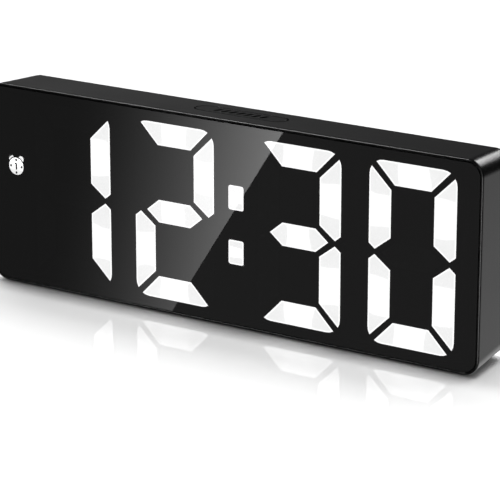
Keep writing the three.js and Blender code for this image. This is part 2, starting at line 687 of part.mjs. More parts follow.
// Each cell's positive end faces left (-1) or right (+1), one after the other.
function batteryCell(i) {
  const side = i % 2 === 0 ? -1 : 1;
  const [y, z] = [CELL.depth, cellZ(i)];
  const tip = side < 0 ? LEFT_PLATE + PLATE.thickness + PLATE.gap : RIGHT_PLATE - PLATE.gap;
  const shoulder = tip - side * CELL.nubLength;
  const tail = tip - side * CELL.length;
  const [bodyX, nubX] = [[shoulder, tail], [tip, shoulder - side * MERGE]].map(ordered);
  const body = rod(y, z, CELL.radius, ...bodyX);
  const nub = rod(y, z, CELL.nub, ...nubX);
  return join(body, nub);
}

class ConeCoil extends THREE.Curve {
  constructor(startX, endX, y, z) {
    super();
    Object.assign(this, { startX, endX, y, z });
  }
  getPoint(t, target = new THREE.Vector3()) {
    const angle = 2 * Math.PI * SPRING.turns * t;
    const radius = THREE.MathUtils.lerp(SPRING.large, SPRING.small, t);
    const x = THREE.MathUtils.lerp(this.startX, this.endX, t);
    return target.set(x, this.y + radius * Math.cos(angle), this.z + radius * Math.sin(angle));
  }
}

function coilSpring(startX, endX, z) {
  const wire = new THREE.Shape().absarc(0, 0, SPRING.wire, 0, 2 * Math.PI);
  const path = new ConeCoil(startX, endX, CELL.depth, z);
  const options = { steps: 30, curveSegments: 3, bevelEnabled: false, extrudePath: path };
  return solid(new THREE.ExtrudeGeometry(wire, options));
}

// A contact plate over one cell's end, or over two cells' ends that it bridges.
const contactPlate = (x, first, last) =>
  block(
    [x, x + PLATE.thickness],
    [PLATE.front, PLATE.rear],
    [cellZ(first) - PLATE.reach, cellZ(last) + PLATE.reach],
  );

const rightSpring = (i) => coilSpring(RIGHT_PLATE + SPRING.root, RIGHT_PLATE - SPRING.reach, cellZ(i));

function leftSpring(i) {
  const face = LEFT_PLATE + PLATE.thickness;
  return coilSpring(face - SPRING.root, face + SPRING.reach, cellZ(i));
}

const contactPositive = () => contactPlate(LEFT_PLATE, 0, 0);
const contactNegative = () => join(contactPlate(RIGHT_PLATE, 2, 2), rightSpring(2));
const bridgeRight = () => join(contactPlate(RIGHT_PLATE, 0, 1), rightSpring(0));
const bridgeLeft = () => join(contactPlate(LEFT_PLATE, 1, 2), leftSpring(1));

// ---------------------------------------------------------------- power inlet

const USB_BOARD = { halfWidth: 7, end: 18, thickness: 1, film: 0.05 };
const usbBoardTop = USB.z - USB.halfHeight - USB_BOARD.film;

function usbBoard() {
  const { halfWidth, end, thickness } = USB_BOARD;
  const across = [USB.x - halfWidth, USB.x + halfWidth];
  return block(across, [onBoard, end], [usbBoardTop - thickness, usbBoardTop]);
}

function usbShell() {
  const { x, z, halfWidth, halfHeight, wall, mouth, length } = USB;
  const outer = slab(stadium(x, z, halfWidth, halfHeight), mouth - length, mouth);
  const inner = slab(stadium(x, z, halfWidth - wall, halfHeight - wall), 0, mouth + CLEAR);
  return cut(outer, inner);
}

function usbTongue() {
  const { x, z, halfWidth, halfHeight, wall, mouth, length } = USB;
  const fit = wall + 0.08;
  const start = mouth - length + 0.1;
  const end = start + 1.7;
  const base = slab(stadium(x, z, halfWidth - fit, halfHeight - fit), start, end, SMALL_CORNER_SEGMENTS);
  const blade = block(
    [x - USB_BLADE.halfWidth, x + USB_BLADE.halfWidth],
    [end - MERGE, mouth - USB_BLADE.recess],
    [z - USB_BLADE.halfHeight, z + USB_BLADE.halfHeight],
  );
  return join(base, blade);
}

// ---------------------------------------------------------------- fasteners and feet

const CROSS = { reach: 0.62, half: 0.28, depth: 0.8 }; // cross recess; reach is a share of the head

function crossHeadScrew(x, z, seat, { head, headHeight, shank, tip }) {
  const top = seat + headHeight;
  const body = join(post(x, z, head, seat, top), post(x, z, shank, tip, seat + MERGE, 10));
  const arm = CROSS.reach * head;
  const depth = [top - CROSS.depth, top + CLEAR];
  return cut(
    body,
    block([x - arm, x + arm], depth, [z - CROSS.half, z + CROSS.half]),
    block([x - CROSS.half, x + CROSS.half], depth, [z - arm, z + arm]),
  );
}

const SCREW_FILM = 0.03; // gap under each screw's head
const coverScrew = ([x, z]) => crossHeadScrew(x, z, SCREW.seat + SCREW_FILM, SCREW);
const boardScrew = ([x, z]) => crossHeadScrew(x, z, BOARD.rear + SCREW_FILM, BOARD_SCREW);

function foot([x, y]) {
  const outline = stadium(x, y, FOOT.halfLength, FOOT.halfWidth);
  return column(outline, -FOOT_PROUD, footCeiling(y) - FOOT.glue, SMALL_CORNER_SEGMENTS);
}

// ---------------------------------------------------------------- assembly

piece("case_shell", caseShell(), blackSatin());
piece("front_panel", frontPanel(), smokedMirror());
piece("panel_tape", panelTape(), foamTape());
piece("display_mask", displayMask(), blackMatt());
DIGIT_X.forEach((x, i) => piece(`digit_${i + 1}_light_guide`, digitGuide(x), milkyGuide()));
piece("colon_light_guide", colonGuide(), milkyGuide());
piece("alarm_sign_light_guide", bellGuide(), milkyGuide());

piece("main_board", mainBoard(), boardGreen());
piece("microcontroller", microcontroller(), chipBlack());
piece("quartz_crystal", quartzCrystal(), steel());
piece("filter_capacitor", filterCapacitor(), steel());
piece("buzzer", buzzer(), chipBlack());
piece("temperature_sensor", temperatureSensor(), chipBlack());
BOARD_SCREWS.forEach((place, i) => piece(`board_screw_${i + 1}`, boardScrew(place), steel()));

piece("snooze_key", snoozeKey(), blackKey());
piece("snooze_switch_body", snoozeSwitchBody(), chipBlack());
piece("snooze_switch_plunger", snoozePlunger(), rubber());
for (const { name, x, z } of keyPlaces) {
  piece(`${name}_key`, rearKey(x, z), blackKey());
  piece(`${name}_switch_body`, switchBody(x, z), chipBlack());
  piece(`${name}_switch_plunger`, switchPlunger(x, z), rubber());
}

piece("rear_cover", rearCover(), blackSatin());
piece("battery_door", batteryDoor(), blackSatin());
[0, 1, 2].forEach((i) => piece(`battery_cell_${i + 1}`, batteryCell(i), cellSleeve()));
piece("battery_contact_positive", contactPositive(), nickel());
piece("battery_contact_negative", contactNegative(), nickel());
piece("battery_bridge_left", bridgeLeft(), nickel());
piece("battery_bridge_right", bridgeRight(), nickel());

piece("usb_board", usbBoard(), boardGreen());
piece("usb_socket_shell", usbShell(), steel());
piece("usb_socket_tongue", usbTongue(), chipBlack());

screwPlaces().forEach((place, i) => piece(`cover_screw_${i + 1}`, coverScrew(place), steel()));
FEET.forEach((place, i) => piece(`foot_${i + 1}`, foot(place), rubber()));

export default alarmClock;
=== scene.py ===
import json
from contextlib import contextmanager
from math import asin, copysign, cos, pi, radians, sin
from types import SimpleNamespace as Sizes

import bmesh
import bpy
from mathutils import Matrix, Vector

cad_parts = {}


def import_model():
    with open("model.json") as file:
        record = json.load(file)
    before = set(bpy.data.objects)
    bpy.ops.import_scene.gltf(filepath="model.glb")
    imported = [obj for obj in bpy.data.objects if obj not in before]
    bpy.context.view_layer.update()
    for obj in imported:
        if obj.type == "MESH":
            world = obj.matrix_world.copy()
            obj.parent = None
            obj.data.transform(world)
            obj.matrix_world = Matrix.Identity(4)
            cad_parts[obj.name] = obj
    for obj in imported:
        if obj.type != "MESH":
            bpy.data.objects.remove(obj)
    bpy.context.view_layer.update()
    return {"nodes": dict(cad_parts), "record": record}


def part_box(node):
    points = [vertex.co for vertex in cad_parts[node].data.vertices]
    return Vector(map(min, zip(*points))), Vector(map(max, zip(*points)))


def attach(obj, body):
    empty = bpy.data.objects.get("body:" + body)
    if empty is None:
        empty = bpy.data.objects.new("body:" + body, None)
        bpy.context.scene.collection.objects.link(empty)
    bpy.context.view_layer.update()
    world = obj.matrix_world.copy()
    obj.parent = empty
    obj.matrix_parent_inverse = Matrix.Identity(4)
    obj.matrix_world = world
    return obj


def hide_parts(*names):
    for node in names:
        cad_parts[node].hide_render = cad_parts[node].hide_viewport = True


# A digital alarm clock with a smoked mirror front. Sizes are in millimetres in case coordinates: X across
# the front, depth from the rim of the front (0) to the back, and Z up from the underside of the case.

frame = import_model()

MM = 0.001
ORIGIN = Vector((0, *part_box("case_shell")[0][1:]))
BODY_OF = {node: body for body, nodes in frame["record"]["behaviour"]["bodies"].items() for node in nodes}
SLOT_OF = {row["node"]: row["material_slot"] for row in frame["record"]["subparts"]}


def at(x, depth, z):
    """A point of the case as a point of the frame."""
    return Vector((x, depth, z)) * MM + ORIGIN


def span(node):
    """A CAD node's lowest and highest corner, in millimetres of the case."""
    return [(Vector(corner) - ORIGIN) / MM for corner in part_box(node)]


def measured(node, axes="xz"):
    """A CAD node's two corners, and its middle and half size along two axes."""
    low, high = span(node)
    ends = [(getattr(low, axis), getattr(high, axis)) for axis in axes]
    return low, high, [(a + b) / 2 for a, b in ends], [(b - a) / 2 for a, b in ends]


def middle(node):
    return measured(node)[2]


HALF_W, SEAM, TOP = span("case_shell")[1]
HALF_H = TOP / 2  # half the height, and the level of the middle
COVER_END = span("rear_cover")[1].y
FOUR = range(1, 5)  # the numbers of the feet, the cover's screws and the board's screws
SCREW_PLACES = [middle(f"cover_screw_{number}") for number in FOUR]


# ---- the camera

# Its place is in metres of the frame, and its angles are in degrees.
CAMERA = Sizes(place=(0.38593, -0.60487, 0.24713), yaw=32.38, pitch=17.58, lens=192.06, sensor=36)


def make_camera():
    lens = having(bpy.data.cameras.new("camera"), sensor_width=CAMERA.sensor, lens=CAMERA.lens)
    turn = (radians(90 - CAMERA.pitch), 0, radians(CAMERA.yaw))
    bpy.context.scene.camera = having(link("camera", lens), location=CAMERA.place, rotation_euler=turn)


# ---- mesh work


# How an outline's two coordinates and its level become a point, by the direction it is extruded in.
def along_y(x, z, depth):
    return at(x, depth, z)


def along_x(depth, z, x):
    return at(x, depth, z)


along_z = at


def having(thing, **settings):
    """The thing with those settings."""
    for name, value in settings.items():
        setattr(thing, name, value)
    return thing


def link(name, data):
    made = bpy.data.objects.new(name, data)
    bpy.context.scene.collection.objects.link(made)
    return made


@contextmanager
def editing(mesh, source=None):
    """The source (or the mesh itself) as a bmesh, which becomes the mesh at the end."""
    work = bmesh.new()
    work.from_mesh(source or mesh)
    yield work
    work.to_mesh(mesh)
    work.free()


WELD = 1e-7  # metres
CAD_WELD = 1e-6  # metres
FLAT_BELOW = radians(0.5)


def loft(name, rings, closed=False, bands=None):
    """Skins a stack of rings with the same number of points: capped at both ends, or closed on itself.
    bands gives the material number of each stretch between two rings, and then of the two caps."""
    count = len(rings[0])
    stretches = len(rings) if closed else len(rings) - 1
    bands = bands or [0] * (stretches + 2)
    faces, numbers = [], []
    for stretch in range(stretches):
        start = stretch * count
        end = (stretch + 1) % len(rings) * count
        for i in range(count):
            j = (i + 1) % count
            faces.append((start + i, start + j, end + j, end + i))
            numbers.append(bands[stretch])
    if not closed:
        last = stretches * count
        faces += [tuple(range(count))[::-1], tuple(range(last, last + count))]
        numbers += bands[-2:]
    mesh = bpy.data.meshes.new(name)
    mesh.from_pydata([point for ring in rings for point in ring], [], faces)
    mesh.polygons.foreach_set("material_index", numbers)
    with editing(mesh) as work:
        bmesh.ops.remove_doubles(work, verts=work.verts, dist=WELD)
        bmesh.ops.recalc_face_normals(work, faces=work.faces)
    return link(name, mesh)


def painted(piece, number):
    """Gives every face of a piece the material of that number."""
    piece.data.polygons.foreach_set("material_index", [number] * len(piece.data.polygons))
    return piece


def arc(cx, cz, radius, start, end, steps):
    angles = [start + (end - start) * i / steps for i in range(steps + 1)]
    return [(cx + radius * cos(a), cz + radius * sin(a)) for a in angles]


def circle(cx, cz, radius, steps):
    return arc(cx, cz, radius, 0, 2 * pi, steps)[:-1]


def rounded(cx, cz, half_w, half_h, radius, steps):
    """The outline of a rectangle with round corners."""
    points = []
    across, up = half_w - radius, half_h - radius
    for quarter, (sx, sz) in enumerate([(1, 1), (-1, 1), (-1, -1), (1, -1)]):
        start = quarter * pi / 2
        points += arc(cx + sx * across, cz + sz * up, radius, start, start + pi / 2, steps)
    return points


# Each of these gives an outline as a function of its inset.
def rectangle(x, z, radius, steps=4):
    centre = (sum(x) / 2, sum(z) / 2)
    half = ((x[1] - x[0]) / 2, (z[1] - z[0]) / 2)
    return lambda inset: rounded(*centre, half[0] - inset, half[1] - inset, max(radius - inset, 0.02), steps)


def slab(centre, half, radius, steps):
    """A rectangle about a middle, whose corners keep their radius."""
    return lambda inset: rounded(*centre, half[0] - inset, half[1] - inset, radius, steps)


def pill(centre, half_length, half_width, steps=8):
    return lambda inset: rounded(*centre, half_length - inset, half_width - inset, half_width - inset, steps)


def dot(x, z, radius, steps=16):
    return lambda inset: circle(x, z, radius - inset, steps)


def around(x, z, count, distance, radius):
    return [dot(*place, radius) for place in circle(x, z, distance, count)]


def round_edge(radius, steps=4):
    """Inset and setback round a quarter circle, from a flat face to the side next to it."""
    return arc(radius, radius, radius, -pi / 2, -pi, steps)


def rounded_ends(start, end, start_radius, end_radius, steps=4):
    """Stations of inset and level for a bar from start to end with both its ends rounded."""
    way = 1 if end > start else -1
    first = [(inset, start + way * back) for inset, back in round_edge(start_radius, steps)]
    last = [(inset, end - way * back) for inset, back in round_edge(end_radius, steps)]
    return first + last[::-1]


PAST = 1  # how far a cutting tool reaches past the surface that it goes in at
OVERLAP = 0.1  # how far joined shapes reach into each other


def hole_stations(surface, bottom, radius, steps=3):
    """Stations of a cutting tool that leaves a rounded edge where it goes in at the surface."""
    way = 1 if surface > bottom else -1
    edge = [(-inset, surface - way * back) for inset, back in round_edge(radius, steps)]
    return [(-radius, surface + way * PAST)] + edge + [(0, bottom)]


def swept(name, outline, stations, lift=along_y, closed=False):
    """A bar with the outline that outline(inset) gives, at each station's inset and level."""
    return loft(name, [[lift(u, v, level) for u, v in outline(inset)] for inset, level in stations], closed)


def bar(name, outline, start, end, start_edge, end_edge, steps=4, lift=along_y):
    return swept(name, outline, rounded_ends(start, end, start_edge, end_edge, steps), lift)


def turned(name, centre, profile, lift=along_y, steps=32, bands=None):
    """A turned piece: the profile is a list of radius and level."""
    rings = [[lift(u, v, level) for u, v in circle(*centre, radius, steps)] for radius, level in profile]
    return loft(name, rings, bands=bands)


def cylinder(name, centre, radius, start, end, lift=along_y, steps=32):
    return turned(name, centre, [(radius, start), (radius, end)], lift, steps)


def block(name, x, depth, z):
    corners = [(x[0], z[0]), (x[1], z[0]), (x[1], z[1]), (x[0], z[1])]
    return loft(name, [[at(u, level, v) for u, v in corners] for level in depth])


def gathered(name, parts):
    """Several meshes as one, in the order they are given."""
    mesh = bpy.data.meshes.new(name)
    with editing(mesh) as work:
        for part in parts:
            work.from_mesh(part.data)
            bpy.data.objects.remove(part)
    return link(name, mesh)


def boolean(target, parts, operation):
    """Joins the parts to the target (UNION) or cuts them out of it (DIFFERENCE)."""
    tool = gathered("tool", parts)
    modifier = target.modifiers.new(operation, "BOOLEAN")
    having(modifier, operation=operation, solver="EXACT", use_self=True, object=tool)
    shown = target.evaluated_get(bpy.context.evaluated_depsgraph_get())
    result = bpy.data.meshes.new_from_object(shown)
    with editing(result) as work:
        bmesh.ops.remove_doubles(work, verts=work.verts, dist=WELD)
    target.modifiers.clear()
    target.data = result
    bpy.data.objects.remove(tool)


SMOOTH_BELOW = 33  # degrees


def finish(node, piece, *other_materials, smooth_below=SMOOTH_BELOW):
    """Smooths the piece that stands for a CAD node, hides the node, and gives the piece the material of the
    node's slot and the node's body.
    A list of parts becomes one piece."""
    if isinstance(piece, list):
        piece = gathered(node, piece)
    piece.name = node + "_finish"
    piece.data.polygons.foreach_set("use_smooth", [True] * len(piece.data.polygons))
    piece.data.set_sharp_from_angle(angle=radians(smooth_below))
    piece.modifiers.new("even_shading", "WEIGHTED_NORMAL").keep_sharp = True
    slot = SLOT_OF[node]
    for name in (slot, *other_materials):
        piece.data.materials.append(MATERIALS[name])
    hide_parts(node)
    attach(piece, BODY_OF[node])


REFINED_BELOW = 40  # degrees


def refined(node, width, segments=2):
    """A copy of a CAD node with its triangles merged and its edges rounded."""
    mesh = bpy.data.meshes.new(node)
    with editing(mesh, frame["nodes"][node].data) as work:
        bmesh.ops.remove_doubles(work, verts=work.verts, dist=CAD_WELD)
        bmesh.ops.dissolve_limit(work, angle_limit=FLAT_BELOW, verts=work.verts, edges=work.edges)
    piece = link(node, mesh)
    having(piece.modifiers.new("round_edges", "BEVEL"), width=width * MM, segments=segments,
           limit_method="ANGLE", angle_limit=radians(REFINED_BELOW))
    return piece


# ---- materials

MATERIALS = {}


def empty_tree(owner):
    owner.use_nodes = True
    owner.node_tree.nodes.clear()
    return owner.node_tree


def new_material(name):
    """Makes a material, kept under its name, and returns its empty node tree."""
    MATERIALS[name] = bpy.data.materials.new(name)
    return empty_tree(MATERIALS[name])


def add(tree, kind, inputs=None, **settings):
    """A new shader node. Each input is a constant, a node or another node's output."""
    made = having(tree.nodes.new("ShaderNode" + kind), **settings)
    for name, value in (inputs or {}).items():
        if isinstance(value, bpy.types.Node):
            value = value.outputs[0]
        if isinstance(value, bpy.types.NodeSocket):
            tree.links.new(value, made.inputs[name])
        else:
            made.inputs[name].default_value = value
    return made


def show(tree, kind, inputs):
    """The shader that a material ends in."""
    add(tree, "OutputMaterial", {"Surface": add(tree, kind, inputs)})


def calculate(tree, operation, first, second):
    return add(tree, "Math", {0: first, 1: second}, operation=operation)


def grey(level):
    return (level, level, level, 1)


def shaded(colour, share):
    return [c * share for c in colour] + [1]


def millimetres(tree):
    """The piece's own coordinates, in millimetres."""
    place = add(tree, "TexCoord").outputs["Object"]
    return add(tree, "VectorMath", {0: place, "Scale": 1 / MM}, operation="SCALE")


def noise(tree, size, detail=2, vector=None):
    """Noise with features of about the given size in millimetres."""
    return add(tree, "TexNoise", {"Vector": vector or millimetres(tree), "Scale": 1 / size, "Detail": detail})


def between(tree, value, low, high, start=0.3, end=0.7):
    """A value from start to end, spread over low to high."""
    return add(tree, "MapRange", dict(enumerate((value, start, end, low, high))))


def blend_colour(tree, factor, first, second):
    return add(tree, "Mix", {0: factor, 6: first, 7: second}, data_type="RGBA").outputs[2]


def blend_value(tree, factor, first, second):
    return add(tree, "Mix", {0: factor, 2: first, 3: second})


def bump(tree, height, depth):
    """A bump of the given depth in millimetres."""
    return add(tree, "Bump", {"Height": height, "Distance": depth * MM, "Strength": 1.0})


def moulded(name, colour, roughness, grain=0.16, depth=0.006, spread=0.07, tint=0.25):
    """A moulded plastic with a fine spark-eroded grain and slow changes of gloss."""
    tree = new_material(name)
    fine = noise(tree, grain, 3)
    share = between(tree, fine, 0, 1, 0.25, 0.75)
    show(tree, "BsdfPrincipled", {
        "Base Color": blend_colour(tree, share, shaded(colour, 1 - tint), shaded(colour, 1 + tint)),
        "Roughness": between(tree, noise(tree, 22, 3), roughness - spread, roughness + spread),
        "Normal": bump(tree, fine, depth),
    })


STREAK = Sizes(size=0.25, stretch=(1, 1, 0.12), spread=0.08, deep=0.003)


def plated(name, colour, roughness):
    """Bright plated metal with fine drawing marks and slight clouding."""
    tree = new_material(name)
    place = add(tree, "VectorMath", {0: millimetres(tree), 1: STREAK.stretch}, operation="MULTIPLY")
    marks = noise(tree, STREAK.size, 4, place)
    clouds = between(tree, noise(tree, 3), 0, 1)
    show(tree, "BsdfPrincipled", {
        "Base Color": blend_colour(tree, clouds, shaded(colour, 0.8), shaded(colour, 1)),
        "Metallic": 1.0,
        "Roughness": between(tree, marks, roughness - STREAK.spread, roughness + STREAK.spread),
        "Normal": bump(tree, marks, STREAK.deep),
    })


PANEL_TINT = 0.2  # share of the light that passes each face of the panel
PANEL_IOR = 1.5


def smoked_panel():
    """Dark see-through acrylic with a polish like a mirror's."""
    tree = new_material("smoked_panel")
    inside = add(tree, "NewGeometry").outputs["Backfacing"]
    outside = calculate(tree, "SUBTRACT", 1.0, inside)
    mirror = calculate(tree, "MULTIPLY", add(tree, "Fresnel", {"IOR": PANEL_IOR}), outside)
    clear = add(tree, "BsdfTransparent", {"Color": grey(PANEL_TINT)})
    wipe = between(tree, noise(tree, 30, 4), 0.0, 0.02)
    gloss = add(tree, "BsdfGlossy", {"Color": grey(1), "Roughness": wipe})
    show(tree, "MixShader", {0: mirror, 1: clear, 2: gloss})


LIT = 1.1 / PANEL_TINT ** 2  # bright enough to be white through the panel
FACET = Sizes(start=0.43, wander=0.08, dim=0.82, tip=0.8)


def lit_guide():
    """A lit segment: white, with a slightly dimmer facet at each end. The UVs run along the segment."""
    tree = new_material("lit_guide")
    along = add(tree, "SeparateXYZ", {0: add(tree, "UVMap", uv_map="along_segment")})
    distance = add(tree, "Math", {0: along}, operation="ABSOLUTE")
    drift = between(tree, noise(tree, 9, 0), -FACET.wander, FACET.wander)
    edge = calculate(tree, "ADD", distance, drift)
    inside = between(tree, edge, 0, 1, FACET.start, FACET.start + 0.03)
    shade = between(tree, edge, FACET.dim, FACET.tip, FACET.start, 1.0)
    show(tree, "BsdfPrincipled", {
        "Base Color": grey(0.4),
        "Roughness": 0.5,
        "Emission Color": grey(1),
        "Emission Strength": calculate(tree, "MULTIPLY", blend_value(tree, inside, 1.0, shade), LIT),
    })


def board_laminate():
    """Green solder mask over copper tracks, with tinned holes."""
    tree = new_material("board_laminate")
    parts = add(tree, "SeparateXYZ", {0: millimetres(tree)}).outputs
    flat = add(tree, "CombineXYZ", {0: parts[0], 1: parts[2]})
    tracks = add(tree, "TexBrick", {
        "Vector": flat, "Scale": 0.16, "Mortar Size": 0.05, "Mortar Smooth": 0.1, "Bias": 0.0,
        "Brick Width": 1.7, "Row Height": 0.33,
    }, offset=0.37).outputs["Fac"]
    holes = add(tree, "TexVoronoi", {"Vector": flat, "Scale": 0.22, "Randomness": 0.8})
    tinned = between(tree, holes, 1, 0, 0.09, 0.11)
    mask = blend_colour(tree, tracks, (0.008, 0.05, 0.022, 1), (0.02, 0.11, 0.05, 1))
    show(tree, "BsdfPrincipled", {
        "Base Color": blend_colour(tree, tinned, mask, (0.6, 0.6, 0.58, 1)),
        "Metallic": tinned,
        "Roughness": between(tree, noise(tree, 1.2), 0.28, 0.42),
        "Normal": bump(tree, calculate(tree, "MAXIMUM", tracks, tinned), 0.035),
    })


def foam_tape():
    tree = new_material("foam_tape")
    cells = add(tree, "TexVoronoi", {"Vector": millimetres(tree), "Scale": 6.0})
    show(tree, "BsdfPrincipled", {
        "Base Color": blend_colour(tree, cells, grey(0.006), grey(0.02)),
        "Roughness": between(tree, cells, 0.85, 1.0, 0, 1),
        "Normal": bump(tree, cells, 0.04),
    })


def make_materials():
    smoked_panel()
    lit_guide()
    board_laminate()
    foam_tape()
    moulded("case_plastic", (0.0024, 0.0024, 0.0025), 0.23, spread=0.04)
    moulded("mask_plastic", (0.008, 0.008, 0.008), 0.7, grain=0.1)
    moulded("light_guide", (0.2, 0.205, 0.21), 0.5, depth=0.002, tint=0.03)
    moulded("component_black", (0.015, 0.015, 0.016), 0.42, grain=0.08, depth=0.004)
    moulded("key_plastic", (0.0028, 0.0028, 0.003), 0.34, grain=0.12)
    moulded("plunger_plastic", (0.04, 0.04, 0.042), 0.45)
    moulded("cell_sleeve", (0.045, 0.06, 0.075), 0.22, grain=0.5, depth=0.002)
    moulded("foot_rubber", (0.015, 0.015, 0.015), 0.75, grain=0.2, depth=0.012)
    moulded("led_body", (0.72, 0.72, 0.7), 0.4, depth=0.002, tint=0.03)
    moulded("led_phosphor", (0.75, 0.6, 0.2), 0.35, grain=0.3, tint=0.1)
    plated("bright_steel", (0.62, 0.62, 0.64), 0.28)
    plated("capacitor_aluminium", (0.7, 0.71, 0.73), 0.35)
    plated("contact_nickel", (0.66, 0.64, 0.6), 0.24)
    plated("contact_gold", (0.83, 0.6, 0.27), 0.25)
    plated("cell_band", (0.72, 0.42, 0.2), 0.3)


# ---- case

DRAFT = 0.06  # how far each side leans in for every millimetre towards the back
CORNER = 4.8
WALL = 2.0
RIM = Sizes(round=0.6, width=0.75, inner_round=0.12)
SEAT = 2.1
SEAM_GAP = 0.35
SEAM_ROUND = 0.15
CORNER_STEPS = 14
FILLET_STEPS = 8

SNOOZE = Sizes(depth=9.4, half_length=15, half_width=3.5, gap=0.45, edge=0.03, through=6)
BOSS = Sizes(radius=2.7, start=7.6, end=15.3, web=0.6, reach=1.6, hole=1.05, hole_start=9.4)


def case_ring(inset, depth, lean=None):
    """The case's outline at a depth. inset narrows its corners, and lean moves its sides in."""
    lean = DRAFT * depth if lean is None else lean
    outline = rounded(0, HALF_H, HALF_W - inset - lean, HALF_H - inset - lean, CORNER - inset, CORNER_STEPS)
    return [at(x, depth, z) for x, z in outline]


def on_top(x, depth, level):
    """A point above (or below) the sloping top of the case."""
    return at(x, depth, TOP - DRAFT * depth + level)


def case_shell():
    stations = [(RIM.width, SEAT, 0)]
    stations += [(RIM.width - inset, back, 0) for inset, back in reversed(round_edge(RIM.inner_round, 3))]
    stations += round_edge(RIM.round, 6)
    stations += [(inset, SEAM - back) for inset, back in reversed(round_edge(SEAM_ROUND, 3))]
    stations += [(WALL, SEAM), (WALL, SEAT)]
    shell = loft("shell", [case_ring(*station) for station in stations], closed=True)
    boolean(shell, [part for place in SCREW_PLACES for part in case_boss(*place)], "UNION")
    tools = [swept("key_hole", snooze_outline, hole_stations(0, -SNOOZE.through, SNOOZE.edge), on_top)]
    pilot = (BOSS.hole, BOSS.hole_start, BOSS.end + PAST)
    tools += [cylinder("pilot", place, *pilot, steps=20) for place in SCREW_PLACES]
    tools += [foot_pocket(number) for number in FOUR]
    boolean(shell, tools, "DIFFERENCE")
    finish("case_shell", shell)


def case_boss(x, z):
    """A screw boss with two webs to the walls beside it."""
    depth = (BOSS.start, BOSS.end)
    side = sorted((x, copysign(HALF_W - BOSS.reach, x)))
    level = sorted((z, HALF_H + copysign(HALF_H - BOSS.reach, z - HALF_H)))
    web = BOSS.web
    return [
        cylinder("boss", (x, z), BOSS.radius, *depth),
        block("web", side, depth, (z - web, z + web)),
        block("web", (x - web, x + web), depth, level),
    ]


snooze_outline = pill((0, SNOOZE.depth), SNOOZE.half_length, SNOOZE.half_width, 12)

FOOT = Sizes(gap=0.15, edge=0.25, root_edge=0.05, pocket=0.6)


def foot_pocket(number):
    _, _, centre, half = measured(f"foot_{number}", "xy")
    ceiling = DRAFT * centre[1] + FOOT.pocket
    return swept("pocket", pill(centre, *(h + FOOT.gap for h in half)), [(0, -PAST), (0, ceiling)], along_z)


def foot(number):
    node = f"foot_{number}"
    low, high, centre, half = measured(node, "xy")
    finish(node, bar(node, pill(centre, *half), low.z, high.z, FOOT.edge, FOOT.root_edge, lift=along_z))


# ---- front panel and display

PANEL_EDGE = 0.06


def front_panel():
    low, high = span("front_panel")
    outline = rectangle((low.x, high.x), (low.z, high.z), CORNER - (HALF_W - high.x), CORNER_STEPS)
    finish("front_panel", bar("panel", outline, low.y, high.y, PANEL_EDGE, PANEL_EDGE, 2))


LIT_SEGMENTS = {1: "bc", 2: "abged", 3: "abgcd", 4: "abcdef"}
SEGMENT_ROWS = {1: "fab", 0: " g ", -1: "edc"}  # above, at and below the middle, from left to right
ON_AXIS = 3  # a segment this near to an axis of its digit lies on it
FACE_SIZES = (2, 26)  # a segment's face measures more than the first and less than the second, both ways
GUIDE = Sizes(base=4.5, rear=5.0, edge=0.05, border=0.4, grow=0.1)


def islands(node):
    """The outline of each raised island of a light guide, from the CAD faces that face forwards."""
    work = bmesh.new()
    work.from_mesh(frame["nodes"][node].data)
    bmesh.ops.remove_doubles(work, verts=work.verts, dist=CAD_WELD)
    front = min(v.co.y for v in work.verts)
    behind = [f for f in work.faces if max(v.co.y for v in f.verts) > front + 1e-5]
    bmesh.ops.delete(work, geom=behind, context="FACES")
    bmesh.ops.dissolve_limit(work, angle_limit=FLAT_BELOW, verts=work.verts, edges=work.edges)
    found = [[tuple((v.co - ORIGIN).xz / MM) for v in face.verts] for face in work.faces]
    work.free()
    return found, (front - ORIGIN.y) / MM


def grown(points, distance):
    """A convex outline moved outwards on every side."""
    moved = []
    for i, point in enumerate(points):
        before, here, after = Vector(points[i - 1]), Vector(point), Vector(points[(i + 1) % len(points)])
        first = (here - before).normalized()
        second = (after - here).normalized()
        out = Vector((first.y + second.y, -first.x - second.x))
        moved.append(tuple(here + out * (distance / (1 + first.dot(second)))))
    return moved


def island(points, front, number):
    """One island with a fine edge and a border round its face, in the material of that number."""
    edge = GUIDE.edge
    stations = [(0, GUIDE.base + OVERLAP), (0, front + edge), (edge, front), (GUIDE.border, front)]
    return painted(swept("island", lambda inset: grown(points, GUIDE.grow - inset), stations), number)


def lay_uvs(piece):
    """Gives the face of each segment UVs from -1 to 1 along it, and 0 everywhere else."""
    layer = piece.data.uv_layers.new(name="along_segment")
    for face in piece.data.polygons:
        corners = [piece.data.vertices[v].co for v in face.vertices]
        spans = [(min(c[k] for c in corners), max(c[k] for c in corners)) for k in (0, 2)]
        sizes = [high - low for low, high in spans]
        fits = FACE_SIZES[0] * MM < min(sizes) and max(sizes) < FACE_SIZES[1] * MM
        is_face = len(corners) > 4 and abs(face.normal.y) > 0.9 and fits
        k = 0 if sizes[0] > sizes[1] else 1
        centre = sum(spans[k]) / 2
        for loop, corner in zip(face.loop_indices, corners):
            layer.data[loop].uv = ((corner[2 * k] - centre) / (sizes[k] / 2), 0) if is_face else (0, 0)


def guide_sheet(node):
    """The thin sheet behind a light guide's raised islands."""
    low, high = span(node)
    outline = rectangle((low.x, high.x), (low.z, high.z), 1, 3)
    return bar("sheet", outline, GUIDE.base, GUIDE.rear, GUIDE.edge, GUIDE.edge, 1)


def finish_guide(node, parts):
    guide = gathered(node, [guide_sheet(node), *parts])
    lay_uvs(guide)
    finish(node, guide, "lit_guide", "mask_plastic")


